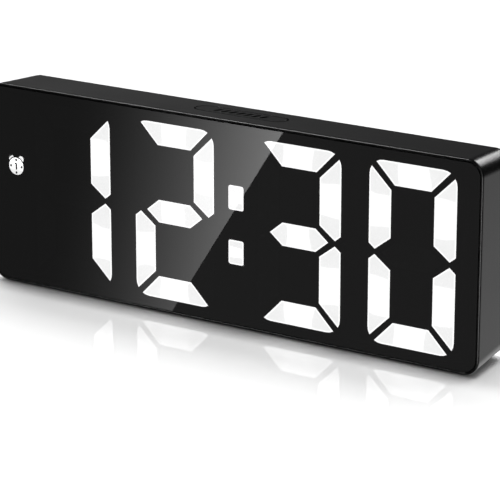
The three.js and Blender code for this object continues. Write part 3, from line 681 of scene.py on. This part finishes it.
def digit(number):
    node = f"digit_{number}_light_guide"
    x, z = middle(node)
    outlines, front = islands(node)
    parts = []
    for points in outlines:
        offsets = [(min(values) + max(values)) / 2 - mid for values, mid in zip(zip(*points), (x, z))]
        column, row = (0 if abs(offset) < ON_AXIS else copysign(1, offset) for offset in offsets)
        segment = SEGMENT_ROWS[row][int(column) + 1]
        parts.append(island(points, front, 1 if segment in LIT_SEGMENTS[number] else 0))
    finish_guide(node, parts)


def colon():
    outlines, front = islands("colon_light_guide")
    finish_guide("colon_light_guide", [island(points, front, 1) for points in outlines])


SIGN = Sizes(x=-73.03, z=35, radius=2.6, bell=1.5, bell_x=1.15, bell_z=1.55, gap=0.32, clear=0.02)
SIGN_DOT = Sizes(radius=0.36, distance=1.9)
SIGN_FIGURE = [(-0.22, -1.0), (0.28, -1.0), (0.28, 1.0), (-0.4, 1.0), (-0.55, 0.6), (-0.22, 0.5)]  # a 1
FILM = Sizes(proud=0.02, sunk=0.01)  # how the sign's dark print sits on its lit discs


def alarm_sign():
    """The sign's disc and bells, lit, with the printed gap, dots and figure in front of them."""
    node = "alarm_sign_light_guide"
    x, z, radius = SIGN.x, SIGN.z, SIGN.radius
    front = span(node)[0].y
    base = GUIDE.base + OVERLAP
    glows = [((x, z), radius - SIGN.clear)]
    glows += [((x + s * SIGN.bell_x, z + SIGN.bell_z), SIGN.bell) for s in (-1, 1)]
    parts = [painted(cylinder("glow", place, r, base, front), 1) for place, r in glows]
    start, end, gap = front - FILM.proud, front + FILM.sunk, SIGN.gap
    section = [(0, start), (0, end), (-gap, end), (-gap, start)]
    prints = [swept("gap", dot(x, z, radius, 40), section, closed=True)]
    figure = lambda inset: [(x + u, z + v) for u, v in SIGN_FIGURE]
    for outline in (*around(x, z, 4, SIGN_DOT.distance, SIGN_DOT.radius), figure):
        prints.append(swept("print", outline, [(0, start), (0, end)]))
    finish_guide(node, parts + [painted(part, 2) for part in prints])


# ---- snooze key

KEY_MARK = Sizes(count=7, pitch=2.5, half_length=1.7, half_width=0.6, deep=1.2, slant=0.25, edge=0.04)
SNOOZE_CAP = Sizes(deep=3.4, edge=0.1)
SNOOZE_FLANGE = Sizes(levels=(56.1, 56.9), around=0.75, edge=0.1)
STEM = Sizes(half_width=1.9, depth=(7.6, 9.8), corner=0.3)


def centred(count, pitch):
    """Places in a row about 0."""
    return [(i - (count - 1) / 2) * pitch for i in range(count)]


def snooze_key():
    """The key's cap follows the slope of the case's top. Slanted grooves mark its middle."""
    cap = bar("cap", lambda inset: snooze_outline(inset + SNOOZE.gap),
              0, -SNOOZE_CAP.deep, SNOOZE.edge, SNOOZE_CAP.edge, lift=on_top)
    edge = SNOOZE_FLANGE.edge
    flange = bar("flange", lambda inset: snooze_outline(inset - SNOOZE_FLANGE.around),
                 *SNOOZE_FLANGE.levels, edge, edge, 2, along_z)
    half = STEM.half_width
    stem_levels = (span("snooze_key")[0].z, SNOOZE_FLANGE.levels[1] - edge)
    stem_outline = rectangle((-half, half), STEM.depth, STEM.corner, 3)
    stem = swept("stem", stem_outline, [(0, z) for z in stem_levels], along_z)
    boolean(cap, [flange, stem], "UNION")
    slot = pill((0, 0), KEY_MARK.half_length, KEY_MARK.half_width)
    stations = hole_stations(0, -KEY_MARK.deep, KEY_MARK.edge)
    marks = []
    for x in centred(KEY_MARK.count, KEY_MARK.pitch):
        lift = lambda u, v, level: on_top(x + v + KEY_MARK.slant * u, SNOOZE.depth + u, level)
        marks.append(swept("mark", slot, stations, lift))
    boolean(cap, marks, "DIFFERENCE")
    finish("snooze_key", cap)


# ---- rear cover

PLATE_INNER = 18.4
REAR_FILLET = 3
LIP = Sizes(start=15.4, slack=0.3, wall=1.2, round=0.15, taper=0.05, taper_length=0.1)
POST_RADIUS = 3
SINK = Sizes(radius=2.3, bottom=17.5, clearance=1.25, edge=0.2)
BAY = Sizes(x=(10, 61), z=(11.2, 45.8), floor=8, wall=1.2, floor_thickness=0.9, corner=0.6)
RECESS = Sizes(x=(9, 62), z=(10.2, 46.8), bottom=18.65, corner=0.7, edge=0.15)
HINGE = Sizes(place=(19.375, 11.15), socket=0.5, pin=0.42, pin_edge=0.12, reach=0.9, ends=(8, 63))
SCOOP = Sizes(place=(35.5, 46.8), radius=4, bottom=19.3, edge=0.2, steps=6)
SOUND = Sizes(count=6, circle=3.4, radius=0.8, edge=0.15)
REAR_KEYS = ("set", "alarm", "up", "down", "brightness")
KEY = Sizes(half_length=4.2, half_width=2.4, gap=0.22, edge=0.3, cap=17.6, stem=1.6,
            inner_edge=0.1, hole_edge=0.2)
KEY_FLANGE = (17.2, 18.1)
USB = Sizes(wall=0.35, gap=0.4, edge=0.35)
OPENING_START = 17


def opening(outline, edge, bottom=OPENING_START):
    """A cutting tool for a hole in the cover's back, right through its plate unless a bottom is given."""
    return swept("opening", outline, hole_stations(COVER_END, bottom, edge))


def cover_blank():
    """The cover's plate, filleted side and tongue, with the hollow inside the tongue."""
    outer = LIP.slack + WALL
    inner = outer + LIP.wall
    start, edge, seam = LIP.start, LIP.round, SEAM + SEAM_GAP
    stations = [(inner, PLATE_INNER), (inner - LIP.taper, start + LIP.taper_length), (inner - edge, start),
                (outer + edge, start), (outer, start + edge), (outer, seam), (SEAM_ROUND, seam)]
    rings = [case_ring(*station) for station in stations]
    first = asin((seam + SEAM_ROUND - SEAM) / REAR_FILLET)
    for across, up in arc(0, 0, REAR_FILLET, first, pi / 2, FILLET_STEPS):
        rings.append(case_ring(REAR_FILLET - across, COVER_END - (REAR_FILLET - up)))
    return loft("cover", rings)


def recess_tools():
    bay = swept("bay", rectangle(BAY.x, BAY.z, BAY.corner), [(0, BAY.floor), (0, COVER_END)])
    recess = opening(rectangle(RECESS.x, RECESS.z, RECESS.corner), RECESS.edge, RECESS.bottom)
    sockets = cylinder("sockets", HINGE.place, HINGE.socket, *HINGE.ends, along_x, 20)
    radius, lip = SCOOP.radius, COVER_END - SCOOP.edge
    dish = [(radius - inset, level) for inset, level in hole_stations(COVER_END, lip, SCOOP.edge)]
    for across, down in arc(0, 0, 1, 0, pi / 2, SCOOP.steps)[1:-1]:
        dish.append((radius * across, lip - (lip - SCOOP.bottom) * down))
    return [bay, recess, sockets, turned("scoop", SCOOP.place, dish, steps=40)]


def sound_holes():
    x, z = middle("buzzer")
    outlines = [dot(x, z, SOUND.radius), *around(x, z, SOUND.count, SOUND.circle, SOUND.radius)]
    return [opening(outline, SOUND.edge) for outline in outlines]


def rear_cover():
    cover = cover_blank()
    wall = BAY.wall
    outside = [(low - wall, high + wall) for low, high in (BAY.x, BAY.z)]
    root = PLATE_INNER + OVERLAP
    box = swept("bay_box", rectangle(*outside, 1), [(0, BAY.floor - BAY.floor_thickness), (0, root)])
    posts = [cylinder("post", place, POST_RADIUS, LIP.start, root) for place in SCREW_PLACES]
    boolean(cover, [box, *posts], "UNION")
    tools = recess_tools() + sound_holes()
    through = (LIP.start - PAST, SINK.bottom + OVERLAP)
    for place in SCREW_PLACES:
        tools.append(opening(dot(*place, SINK.radius, 32), SINK.edge, SINK.bottom))
        tools.append(cylinder("clearance", place, SINK.clearance, *through, steps=20))
    for name in REAR_KEYS:
        outline = pill(middle(f"{name}_key"), KEY.half_length, KEY.half_width, 10)
        tools.append(opening(outline, KEY.hole_edge))
    _, _, centre, half = measured("usb_socket_shell")
    tools.append(opening(pill(centre, half[0] + USB.gap, half[1] + USB.gap, 10), USB.edge))
    boolean(cover, tools, "DIFFERENCE")
    finish("rear_cover", cover)


# ---- battery door

DOOR_EDGE = Sizes(outside=0.25, ends=0.18)
LATCH = Sizes(near=6.2, far=7, length=9, corner=0.3, edge=0.12)
GRIP = Sizes(half_length=4, first=2.6, half_width=0.4, pitch=1.6, count=3, deep=0.3, edge=0.1)


def door_profile(inset):
    """The door's section in depth and Z: a leaf whose lower edge is round about the hinge."""
    high = span("battery_door")[1]
    depth, z = HINGE.place
    inner = depth - (high.y - depth)
    r = DOOR_EDGE.outside
    points = arc(depth, z, high.y - depth - inset, pi, 2 * pi, 12)
    points += arc(high.y - inset - r, high.z - inset - r, r, 0, pi / 2, 3)
    return points + arc(inner + inset + r, high.z - inset - r, r, pi / 2, pi, 3)


def battery_door():
    low, high = span("battery_door")
    x = (low.x + HINGE.reach, high.x - HINGE.reach)
    ends = DOOR_EDGE.ends
    door = bar("door", door_profile, *x, ends, ends, 3, along_x)
    edge = HINGE.pin_edge
    pins = bar("pins", dot(*HINGE.place, HINGE.pin, 24), low.x, high.x, edge, edge, 2, along_x)
    boolean(door, [pins], "UNION")
    centre = sum(x) / 2
    tools = []
    for side in (-1, 1):
        across = sorted((centre + side * LATCH.near, centre + side * LATCH.far))
        outline = rectangle(across, (high.z - LATCH.length, high.z + 2 * PAST), LATCH.corner, 3)
        tools.append(opening(outline, LATCH.edge, low.y - PAST))
    for i in range(GRIP.count):
        z = high.z - GRIP.first - GRIP.pitch * i
        outline = pill((centre, z), GRIP.half_length, GRIP.half_width, 5)
        tools.append(opening(outline, GRIP.edge, COVER_END - GRIP.deep))
    boolean(door, tools, "DIFFERENCE")
    finish("battery_door", door)


# ---- rear keys

MARK = Sizes(deep=0.18, edge=0.05)
TRIANGLE = Sizes(half=1.05, tall=0.85, narrowing=1.6)


def triangle(x, z, way):
    """A triangle that points up (1) or down (-1), from an outline with an inset."""
    def outline(inset):
        half, tall = TRIANGLE.half - TRIANGLE.narrowing * inset, TRIANGLE.tall - inset
        points = [(x - half, z - way * tall), (x + half, z - way * tall), (x, z + way * (tall - inset))]
        return points if way > 0 else points[::-1]
    return outline


def key_marks(name, x, z):
    """Plain engraved pictures: a bar and two dots, a bell, two triangles and a sun."""
    return {
        "set": [pill((x, z), 1.3, 0.2, 4), dot(x, z + 0.75, 0.3), dot(x, z - 0.75, 0.3)],
        "alarm": [dot(x, z, 0.8), dot(x - 0.85, z + 0.85, 0.25), dot(x + 0.85, z + 0.85, 0.25)],
        "up": [triangle(x, z, 1)],
        "down": [triangle(x, z, -1)],
        "brightness": [dot(x, z, 0.55), *around(x, z, 8, 1.05, 0.15)],
    }[name]


def rear_key(name):
    node = f"{name}_key"
    low, high, centre, half = measured(node)
    outline = pill(centre, KEY.half_length - KEY.gap, KEY.half_width - KEY.gap, 12)
    edge = KEY.inner_edge
    cap = bar("cap", outline, KEY.cap, high.y, edge, KEY.edge)
    flange = bar("flange", pill(centre, *half, 6), *KEY_FLANGE, edge, edge, 2)
    stem = bar("stem", dot(*centre, KEY.stem, 20), low.y, KEY.cap, edge, edge, 3)
    boolean(cap, [flange, stem], "UNION")
    stations = hole_stations(high.y, high.y - MARK.deep, MARK.edge, 1)
    boolean(cap, [swept("mark", outline, stations) for outline in key_marks(name, *centre)], "DIFFERENCE")
    finish(node, cap)


# ---- switches

SWITCH = Sizes(bore=1.85, bottom=8.8, plate=0.35, step=0.12, corner=0.35, root_inset=0.05, edge=0.1)
STAKE = Sizes(radius=0.45, at=2.35, proud=0.12, edge=0.08)
PLUNGER_EDGE = 0.25


def switch_body(name):
    """A push switch: a nylon body under a steel plate, with a bore and four staked posts."""
    node = f"{name}_switch_body"
    low, high, (x, z), half = measured(node)
    outline = slab((x, z), (half[0], half[0]), SWITCH.corner, 7)
    bore = circle(x, z, SWITCH.bore, 32)
    plate = high.y - SWITCH.plate
    step, edge = SWITCH.step, SWITCH.edge
    stations = [(SWITCH.root_inset, low.y), (0, low.y + edge), (0, plate),
                (step, plate), (step, high.y - edge), (step + edge, high.y)]
    rings = [[at(u, level, v) for u, v in outline(inset)] for inset, level in stations]
    rings += [[at(u, level, v) for u, v in bore] for level in (high.y, SWITCH.bottom)]
    parts = [loft("body", rings, bands=[0, 0, 0, 1, 1, 1, 0, 0, 0])]
    for sx in (-1, 1):
        for sz in (-1, 1):
            place = (x + sx * STAKE.at, z + sz * STAKE.at)
            end, round_by = high.y + STAKE.proud, STAKE.edge
            parts.append(bar("stake", dot(*place, STAKE.radius), plate, end, round_by, round_by, 3))
    finish(node, parts, "bright_steel")


def switch_plunger(name):
    node = f"{name}_switch_plunger"
    low, high, centre, half = measured(node)
    finish(node, bar("plunger", dot(*centre, half[0], 32), low.y, high.y, PLUNGER_EDGE, PLUNGER_EDGE, 3))


# ---- cells and contacts

CELL_SHAPE = [  # radius, distance from the negative end, and the material of the stretch that starts here
    (2.6, 0.15, 1), (2.9, 0.0, 1), (4.1, 0.0, 1), (4.15, 0.12, 0), (4.7, 0.02, 0), (5.0, 0.15, 0),
    (5.15, 0.4, 0), (5.2, 0.8, 0), (5.2, 30.5, 2), (5.2, 42.7, 2), (5.13, 43.2, 2), (4.85, 43.55, 2),
    (4.4, 43.7, 2), (4.2, 43.62, 1), (2.1, 43.62, 1), (1.95, 43.75, 1), (1.9, 43.9, 1), (1.9, 44.25, 1),
    (1.8, 44.43, 1), (1.6, 44.5, 1),
]


def battery_cell(number):
    """A plain cell: a dark sleeve with a copper-coloured band at the positive end."""
    node = f"battery_cell_{number}"
    low, high, centre, _ = measured(node, "yz")
    way, tail = (-1, high.x) if number % 2 else (1, low.x)
    profile = [(radius, tail + way * distance) for radius, distance, band in CELL_SHAPE]
    bands = [band for radius, distance, band in CELL_SHAPE] + [1]
    finish(node, turned("cell", centre, profile, along_x, 48, bands), "bright_steel", "cell_band")


CONTACT = Sizes(thickness=0.4, corner=0.8, edge=0.06, sunk=0.15)
SPRING = Sizes(large=3.4, small=1.5, wire=0.3, turns=3, length=4.6, steps=28, sides=8)
SPRING_OF = {  # the cell that each contact's spring presses on, and which way the spring points
    "battery_contact_negative": (3, -1),
    "battery_bridge_right": (1, -1),
    "battery_bridge_left": (2, 1),
    "battery_contact_positive": None,
}


def coil_spring(face, way, depth, z):
    """A conical spring of round wire."""
    total = SPRING.turns * SPRING.steps
    rings = []
    for i in range(total + 1):
        share = i / total
        angle = 2 * pi * i / SPRING.steps
        radius = SPRING.large + (SPRING.small - SPRING.large) * share
        section = circle(radius, face + way * SPRING.length * share, SPRING.wire, SPRING.sides)
        rings.append([at(x, depth + out * cos(angle), z + out * sin(angle)) for out, x in section])
    return loft("spring", rings)


def contact(node):
    low, high = span(node)
    left = low.x < sum(BAY.x) / 2
    x = (low.x, low.x + CONTACT.thickness) if left else (high.x - CONTACT.thickness, high.x)
    outline = rectangle((low.y, high.y), (low.z, high.z), CONTACT.corner)
    parts = [bar("plate", outline, *x, CONTACT.edge, CONTACT.edge, 1, along_x)]
    if SPRING_OF[node]:
        cell, way = SPRING_OF[node]
        face = x[1] - CONTACT.sunk if left else x[0] + CONTACT.sunk
        parts.append(coil_spring(face, way, *measured(f"battery_cell_{cell}", "yz")[2]))
    finish(node, parts)


# ---- power inlet

PAD = Sizes(count=12, pitch=0.5, half_width=0.13, start=2.9, end=1.2, proud=0.02)
TONGUE = Sizes(base=1.7, base_edge=0.08, half_width=3.35, half_thick=0.35, corner=0.1, root_edge=0.02,
               tip_edge=0.12)
MOUTH = Sizes(round=0.05, first=0.03, deep=0.14)


def usb_shell():
    """The inlet's drawn steel shell, with a rolled mouth."""
    low, high, centre, half = measured("usb_socket_shell")
    wall, end = USB.wall, high.y
    stations = [(0, low.y), (0, end - MOUTH.deep), (MOUTH.round, end - MOUTH.first), (wall / 2, end),
                (wall - MOUTH.round, end - MOUTH.first), (wall, end - MOUTH.deep), (wall, low.y)]
    finish("usb_socket_shell", swept("shell", pill(centre, *half), stations, closed=True))


def usb_tongue():
    low, high, (x, z), half = measured("usb_socket_tongue")
    base_end = low.y + TONGUE.base
    edge, thick, wide = TONGUE.base_edge, TONGUE.half_thick, TONGUE.half_width
    base = bar("base", pill((x, z), *half, 6), low.y, base_end, edge, edge, 1)
    outline = rectangle((x - wide, x + wide), (z - thick, z + thick), TONGUE.corner, 2)
    blade = bar("blade", outline, base_end - OVERLAP, high.y, TONGUE.root_edge, TONGUE.tip_edge, 2)
    parts = [base, blade]
    for side in (-1, 1):
        face = sorted((z + side * (thick - PAD.proud), z + side * (thick + PAD.proud)))
        for offset in centred(PAD.count, PAD.pitch):
            across = (x + offset - PAD.half_width, x + offset + PAD.half_width)
            parts.append(painted(block("pad", across, (high.y - PAD.start, high.y - PAD.end), face), 1))
    finish("usb_socket_tongue", parts, "contact_gold")


# ---- screws

COVER_SCREW = dict(head_height=1.4, shank=0.95)
BOARD_SCREW = dict(head_height=1.1, shank=0.75)
THREAD = Sizes(pitch=0.75, depth=0.17, point=0.12, tip=0.8, lead=0.9, plain=1.2, crest=0.45, relief=0.2)
HEAD = Sizes(inset=0.08, edge=0.1)
CROSS = Sizes(reach=0.62, half=0.28, deep=0.8)
DOME = [(1, 0.75), (0.94, 0.42), (0.8, 0.16), (0.55, 0.03), (0.3, 0.0)]  # share of the radius, and setback


def screw(node, head_height, shank):
    """A pan-head screw with a cross recess, its head towards the back."""
    low, high, (x, z), (head, _) = measured(node)
    seat = high.y - head_height
    root = shank - THREAD.depth
    profile = [(THREAD.point, low.y), (root, low.y + THREAD.tip)]
    for i in range(int((seat - low.y - THREAD.plain) / THREAD.pitch)):
        start = low.y + THREAD.lead + i * THREAD.pitch
        profile += [(root, start), (shank, start + THREAD.pitch * THREAD.crest)]
    profile += [(root, seat - THREAD.relief), (root, seat)]
    profile += [(head - HEAD.inset, seat), (head, seat + HEAD.edge)]
    profile += [(head * share, high.y - back) for share, back in DOME]
    piece = turned("screw", (x, z), profile, steps=28)
    arm, half = CROSS.reach * head, CROSS.half
    depth = (high.y - CROSS.deep, high.y + PAST)
    bars = [block("bar", (x - u, x + u), depth, (z - v, z + v)) for u, v in ((arm, half), (half, arm))]
    boolean(piece, bars, "DIFFERENCE")
    finish(node, piece)


# ---- circuit board

LED = Sizes(window=0.45, height=0.45, flat=0.01)
CHIP = Sizes(half=(9, 3.8), lift=0.2, corner=0.1, chamfer=0.25, waist=0.1, leads=14, pitch=1.27,
             dimple_at=1.5, dimple=((0.55, PAST), (0.45, -0.1)))
LEAD = Sizes(half=0.2, thickness=0.15, root=1.25, inside=0.1, knee=0.55, slope=0.25)
CRYSTAL = Sizes(flange=0.5, brim=0.45, can_start=0.3, flange_edges=(0.1, 0.12), can_edges=(0.05, 0.5))
CAPACITOR = Sizes(base=1, corner=0.8, brim=0.15, can_start=0.9, base_edges=(0.06, 0.1), can_edge=0.4)
GROOVE = [(0.1, 0), (0, 0.1), (0, 0.7), (0.3, 1.0), (0.3, 1.2), (0, 1.5)]  # inset, and level on the can
BUZZER = Sizes(edges=(0.1, 0.4), mouth=1.2, mouth_edge=0.15, mouth_deep=1.5)
BEAD = Sizes(neck_share=0.42, neck_length=0.25, leg_at=0.6, leg_radius=0.25)


def main_board():
    """The board with its diodes: white bodies with a phosphor window each."""
    board = refined("main_board", 0.05, 1)
    front = span("main_board")[0].y
    with editing(board.data) as work:
        on_led = []
        for face in work.faces:
            depth = (face.calc_center_median().y - ORIGIN.y) / MM
            if depth < front + LED.height:
                face.material_index = 1
            if depth < front + LED.flat:
                on_led.append(face)
        bmesh.ops.inset_individual(work, faces=on_led, thickness=LED.window * MM)
        for face in on_led:
            face.material_index = 2
    finish("main_board", board, "led_body", "led_phosphor", smooth_below=REFINED_BELOW)


def gull_lead(x, z, side, low, high):
    """One bent lead, from the side of the package down to the board."""
    root = low.y + LEAD.root
    t = LEAD.thickness
    wall = CHIP.half[1]
    start = z + side * (wall - LEAD.inside)
    knee = z + side * (wall + LEAD.knee)
    ankle = z + side * (wall + LEAD.knee + LEAD.slope)
    toe = high.z if side > 0 else low.z
    points = [(root, start), (root, knee), (low.y, ankle), (low.y, toe), (low.y + t, toe),
              (low.y + t, ankle + side * t), (root + t, knee + side * t), (root + t, start)]
    return painted(loft("lead", [[at(x + s * LEAD.half, u, v) for u, v in points] for s in (-1, 1)]), 1)


def microcontroller():
    low, high, (x, z), _ = measured("microcontroller")
    chamfer = CHIP.chamfer
    waist = low.y + LEAD.root + CHIP.waist
    stations = [(chamfer, low.y + CHIP.lift), (0, waist), (0, waist + CHIP.waist), (chamfer, high.y)]
    body = swept("body", slab((x, z), CHIP.half, CHIP.corner, 2), stations)
    place = (x - CHIP.half[0] + CHIP.dimple_at, z - CHIP.half[1] + CHIP.dimple_at)
    dimple = turned("dimple", place, [(radius, high.y + level) for radius, level in CHIP.dimple])
    boolean(body, [dimple], "DIFFERENCE")
    parts = [body]
    for offset in centred(CHIP.leads, CHIP.pitch):
        parts += [gull_lead(x + offset, z, side, low, high) for side in (-1, 1)]
    finish("microcontroller", parts, "bright_steel")


def quartz_crystal():
    low, high, centre, half = measured("quartz_crystal")
    flange = bar("flange", pill(centre, *half, 10), low.y, low.y + CRYSTAL.flange, *CRYSTAL.flange_edges, 2)
    outline = pill(centre, *(h - CRYSTAL.brim for h in half), 10)
    can = bar("can", outline, low.y + CRYSTAL.can_start, high.y, *CRYSTAL.can_edges, 5)
    finish("quartz_crystal", [flange, can])


def filter_capacitor():
    """An aluminium can with a rolled groove, on a nylon base."""
    low, high, centre, half = measured("filter_capacitor")
    outline = slab(centre, (half[0], half[0]), CAPACITOR.corner, 4)
    base = bar("base", outline, low.y, low.y + CAPACITOR.base, *CAPACITOR.base_edges, 2)
    radius, start = half[0] - CAPACITOR.brim, low.y + CAPACITOR.can_start
    profile = [(radius - inset, start + level) for inset, level in GROOVE]
    profile += [(radius - inset, high.y - back) for inset, back in reversed(round_edge(CAPACITOR.can_edge))]
    finish("filter_capacitor", [turned("can", centre, profile), painted(base, 1)], "component_black")


def buzzer():
    low, high, centre, half = measured("buzzer")
    profile = [(half[0] - inset, level) for inset, level in rounded_ends(low.y, high.y, *BUZZER.edges)]
    mouth, edge = BUZZER.mouth, BUZZER.mouth_edge
    profile += [(mouth + edge, high.y), (mouth, high.y - edge), (mouth, high.y - BUZZER.mouth_deep)]
    finish("buzzer", turned("buzzer", centre, profile, steps=48))


def temperature_sensor():
    """A bead of black resin on two tinned legs."""
    low, high, (x, z), (radius, _) = measured("temperature_sensor")
    centre = high.y - radius
    profile = [(along, centre + across) for across, along in arc(0, 0, radius, pi, 0, 12)[1:-1]]
    profile[0] = (radius * BEAD.neck_share, profile[0][1] - BEAD.neck_length)
    parts = [turned("bead", (x, z), profile, steps=24)]
    for side in (-1, 1):
        place = (x + side * BEAD.leg_at, z)
        parts.append(painted(cylinder("leg", place, BEAD.leg_radius, low.y, centre, steps=10), 1))
    finish("temperature_sensor", parts, "bright_steel")


def inner_pieces():
    """The pieces whose CAD shape is right but for its sharp edges."""
    for node, width in (("snooze_switch_body", 0.12), ("snooze_switch_plunger", 0.15), ("usb_board", 0.05)):
        finish(node, refined(node, width), smooth_below=REFINED_BELOW)


def keep_cad_nodes():
    """Every CAD node that is still shown gets the material of its slot."""
    for name, node in frame["nodes"].items():
        if not node.hide_render:
            node.data.materials.clear()
            node.data.materials.append(MATERIALS[SLOT_OF[name]])


# ---- the stage, in metres of the frame


def light(name, place, target, size, power, **seen):
    data = bpy.data.lights.new(name, "AREA")
    having(data, shape="RECTANGLE", size=size[0], size_y=size[1], energy=power)
    turn = (Vector(target) - Vector(place)).to_track_quat("-Z", "Y").to_euler()
    having(link(name, data), location=place, rotation_euler=turn, visible_camera=False, **seen)


def sheet_of(name, corners, **seen):
    """A flat piece of the stage, in the material of its name."""
    mesh = bpy.data.meshes.new(name)
    mesh.from_pydata(corners, [], [(0, 1, 2, 3)])
    mesh.materials.append(MATERIALS[name])
    made = having(link(name, mesh), **seen)
    return made


def floor():
    tree = new_material("floor")
    show(tree, "BsdfPrincipled", {"Base Color": grey(0.85), "Roughness": 0.03})
    sheet_of("floor", [(-6, -6, 0), (6, -6, 0), (6, 6, 0), (-6, 6, 0)], visible_glossy=False)


def ramp(tree, value, stops):
    """A level that runs through the stops, given as values and levels."""
    first, last = stops[0][0], stops[-1][0]
    made = add(tree, "ValToRGB", {0: between(tree, value, 0, 1, first, last)})
    points = made.color_ramp.elements
    points.remove(points[0])
    points[0].position = 0
    points[0].color = grey(stops[0][1])
    for place, level in stops[1:]:
        points.new((place - first) / (last - first)).color = grey(level)
    return made


# What the gloss of the case mirrors, by the direction it looks in. Towards the back that is a white
# floor below and a dim wall at the left, less bright at the sides. Towards the front it is a narrow
# bright strip, only below the horizon, so that the flat top stays dark from every side.
BELOW = [(-0.45, 0.9), (-0.34, 0.6), (-0.22, 0.38), (-0.12, 0.0)]
BELOW_AT_LEFT = [(-0.35, 0.05), (-0.05, 1.0)]
LEFT_WALL = [(-0.61, 0.155), (-0.34, 0.015)]
BESIDE = [(-0.2, 0.05), (0.4, 1.0)]
FRONT_STRIP = [(0.3, 0.28), (0.45, 8.0), (0.55, 8.0), (0.65, 0.1)]
FRONT_BELOW = [(-0.45, 0.1), (-0.34, 1.0), (-0.2, 1.0), (-0.1, 0.15)]
FRONT_TO_BACK = [(-0.55, 0.0), (-0.35, 1.0)]
AMBIENT = 0.38


def world():
    bpy.context.scene.world = bpy.data.worlds.new("studio")
    tree = empty_tree(bpy.context.scene.world)
    x, y, z = add(tree, "SeparateXYZ", {0: add(tree, "TexCoord").outputs["Generated"]}).outputs
    below = calculate(tree, "MULTIPLY", ramp(tree, z, BELOW), ramp(tree, x, BELOW_AT_LEFT))
    behind = calculate(tree, "ADD", below, ramp(tree, x, LEFT_WALL))
    rear = calculate(tree, "MULTIPLY", behind, ramp(tree, y, BESIDE))
    front = calculate(tree, "MULTIPLY", ramp(tree, x, FRONT_STRIP), ramp(tree, z, FRONT_BELOW))
    shine = blend_value(tree, ramp(tree, y, FRONT_TO_BACK), front, rear)
    rays = add(tree, "LightPath").outputs
    strength = blend_value(tree, rays["Is Glossy Ray"], AMBIENT, shine)
    seen = blend_value(tree, rays["Is Camera Ray"], strength, 1.0)
    background = add(tree, "Background", {"Color": grey(1), "Strength": seen})
    add(tree, "OutputWorld", {"Surface": background})


# The card stands at card_y. The other places are on the panel, in millimetres of the case.
SHEEN = Sizes(card_y=-0.5, top_x=20, bottom_x=-18.1, left_x=-150, fade_x=-55, past=10, tilt=0.2,
              power=2.5, level=4.0, base=0.2)


def sheen_material():
    """A glow that rises towards the card's slanted edge."""
    tree = new_material("sheen_card")
    across = add(tree, "SeparateXYZ", {0: add(tree, "UVMap", uv_map="UVMap")})
    rise = calculate(tree, "MAXIMUM", across, 0.0)
    curve = calculate(tree, "POWER", rise, SHEEN.power)
    glow = calculate(tree, "ADD", calculate(tree, "MULTIPLY", curve, SHEEN.level), SHEEN.base)
    show(tree, "Emission", {"Color": grey(1), "Strength": glow})
    MATERIALS["sheen_card"].cycles.emission_sampling = "NONE"


def sheen_card():
    """A graded light card that the front panel mirrors, with the slanted edge of its frame."""
    mirrored = Vector(CAMERA.place)
    panel_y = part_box("front_panel")[0].y
    mirrored.y = 2 * panel_y - mirrored.y
    reach = (SHEEN.card_y - mirrored.y) / (panel_y - mirrored.y)
    low, high = -SHEEN.past, TOP + SHEEN.past
    right = [SHEEN.bottom_x + (SHEEN.top_x - SHEEN.bottom_x) / TOP * z for z in (low, high)]
    seen = [(SHEEN.left_x, low), (right[0], low), (right[1], high), (SHEEN.left_x, high)]
    corners = []
    for x, z in seen:
        on_panel = at(x, 0, z)
        on_panel.y = panel_y
        corners.append(mirrored + (on_panel - mirrored) * reach)
    sheen_material()
    card = sheet_of("sheen_card", corners, visible_camera=False, visible_diffuse=False, visible_shadow=False,
                    visible_transmission=False)
    layer = card.data.uv_layers.new(name="UVMap")
    for loop, (x, z) in enumerate(seen):
        across = x + SHEEN.tilt * (TOP - z) - SHEEN.fade_x
        layer.data[loop].uv = (across / (SHEEN.top_x - SHEEN.fade_x), z / TOP)


def make_stage():
    floor()
    world()
    sheen_card()
    light("overhead_softbox", (-0.4, 0.3, 4.0), (-0.4, 0.02, 0), (3.2, 0.5), 118, visible_glossy=False)
    light("rear_fill", (-0.8, 1.4, 2.7), (-0.8, 0.1, 0), (4.4, 1.5), 102, visible_glossy=False)
    light("rear_softbox", (0.19, 1.0, 0.6), (0.19, 0, 0.05), (0.54, 0.24), 3.5, visible_diffuse=False)
    light("front_softbox", (-0.5, -0.3, 0.9), (0, 0, 0.05), (0.7, 0.12), 4.4, visible_diffuse=False)
    bpy.context.scene.view_settings.view_transform = "Standard"


# ---- everything together

make_camera()
make_materials()
case_shell()
for foot_number in FOUR:
    foot(foot_number)
front_panel()
for digit_number in LIT_SEGMENTS:
    digit(digit_number)
colon()
alarm_sign()
snooze_key()
rear_cover()
battery_door()
for key_name in REAR_KEYS:
    rear_key(key_name)
    switch_body(key_name)
    switch_plunger(key_name)
for cell_number in (1, 2, 3):
    battery_cell(cell_number)
for contact_name in SPRING_OF:
    contact(contact_name)
usb_shell()
usb_tongue()
for screw_number in FOUR:
    screw(f"cover_screw_{screw_number}", **COVER_SCREW)
    screw(f"board_screw_{screw_number}", **BOARD_SCREW)
main_board()
microcontroller()
quartz_crystal()
filter_capacitor()
buzzer()
temperature_sensor()
inner_pieces()
keep_cad_nodes()
make_stage()
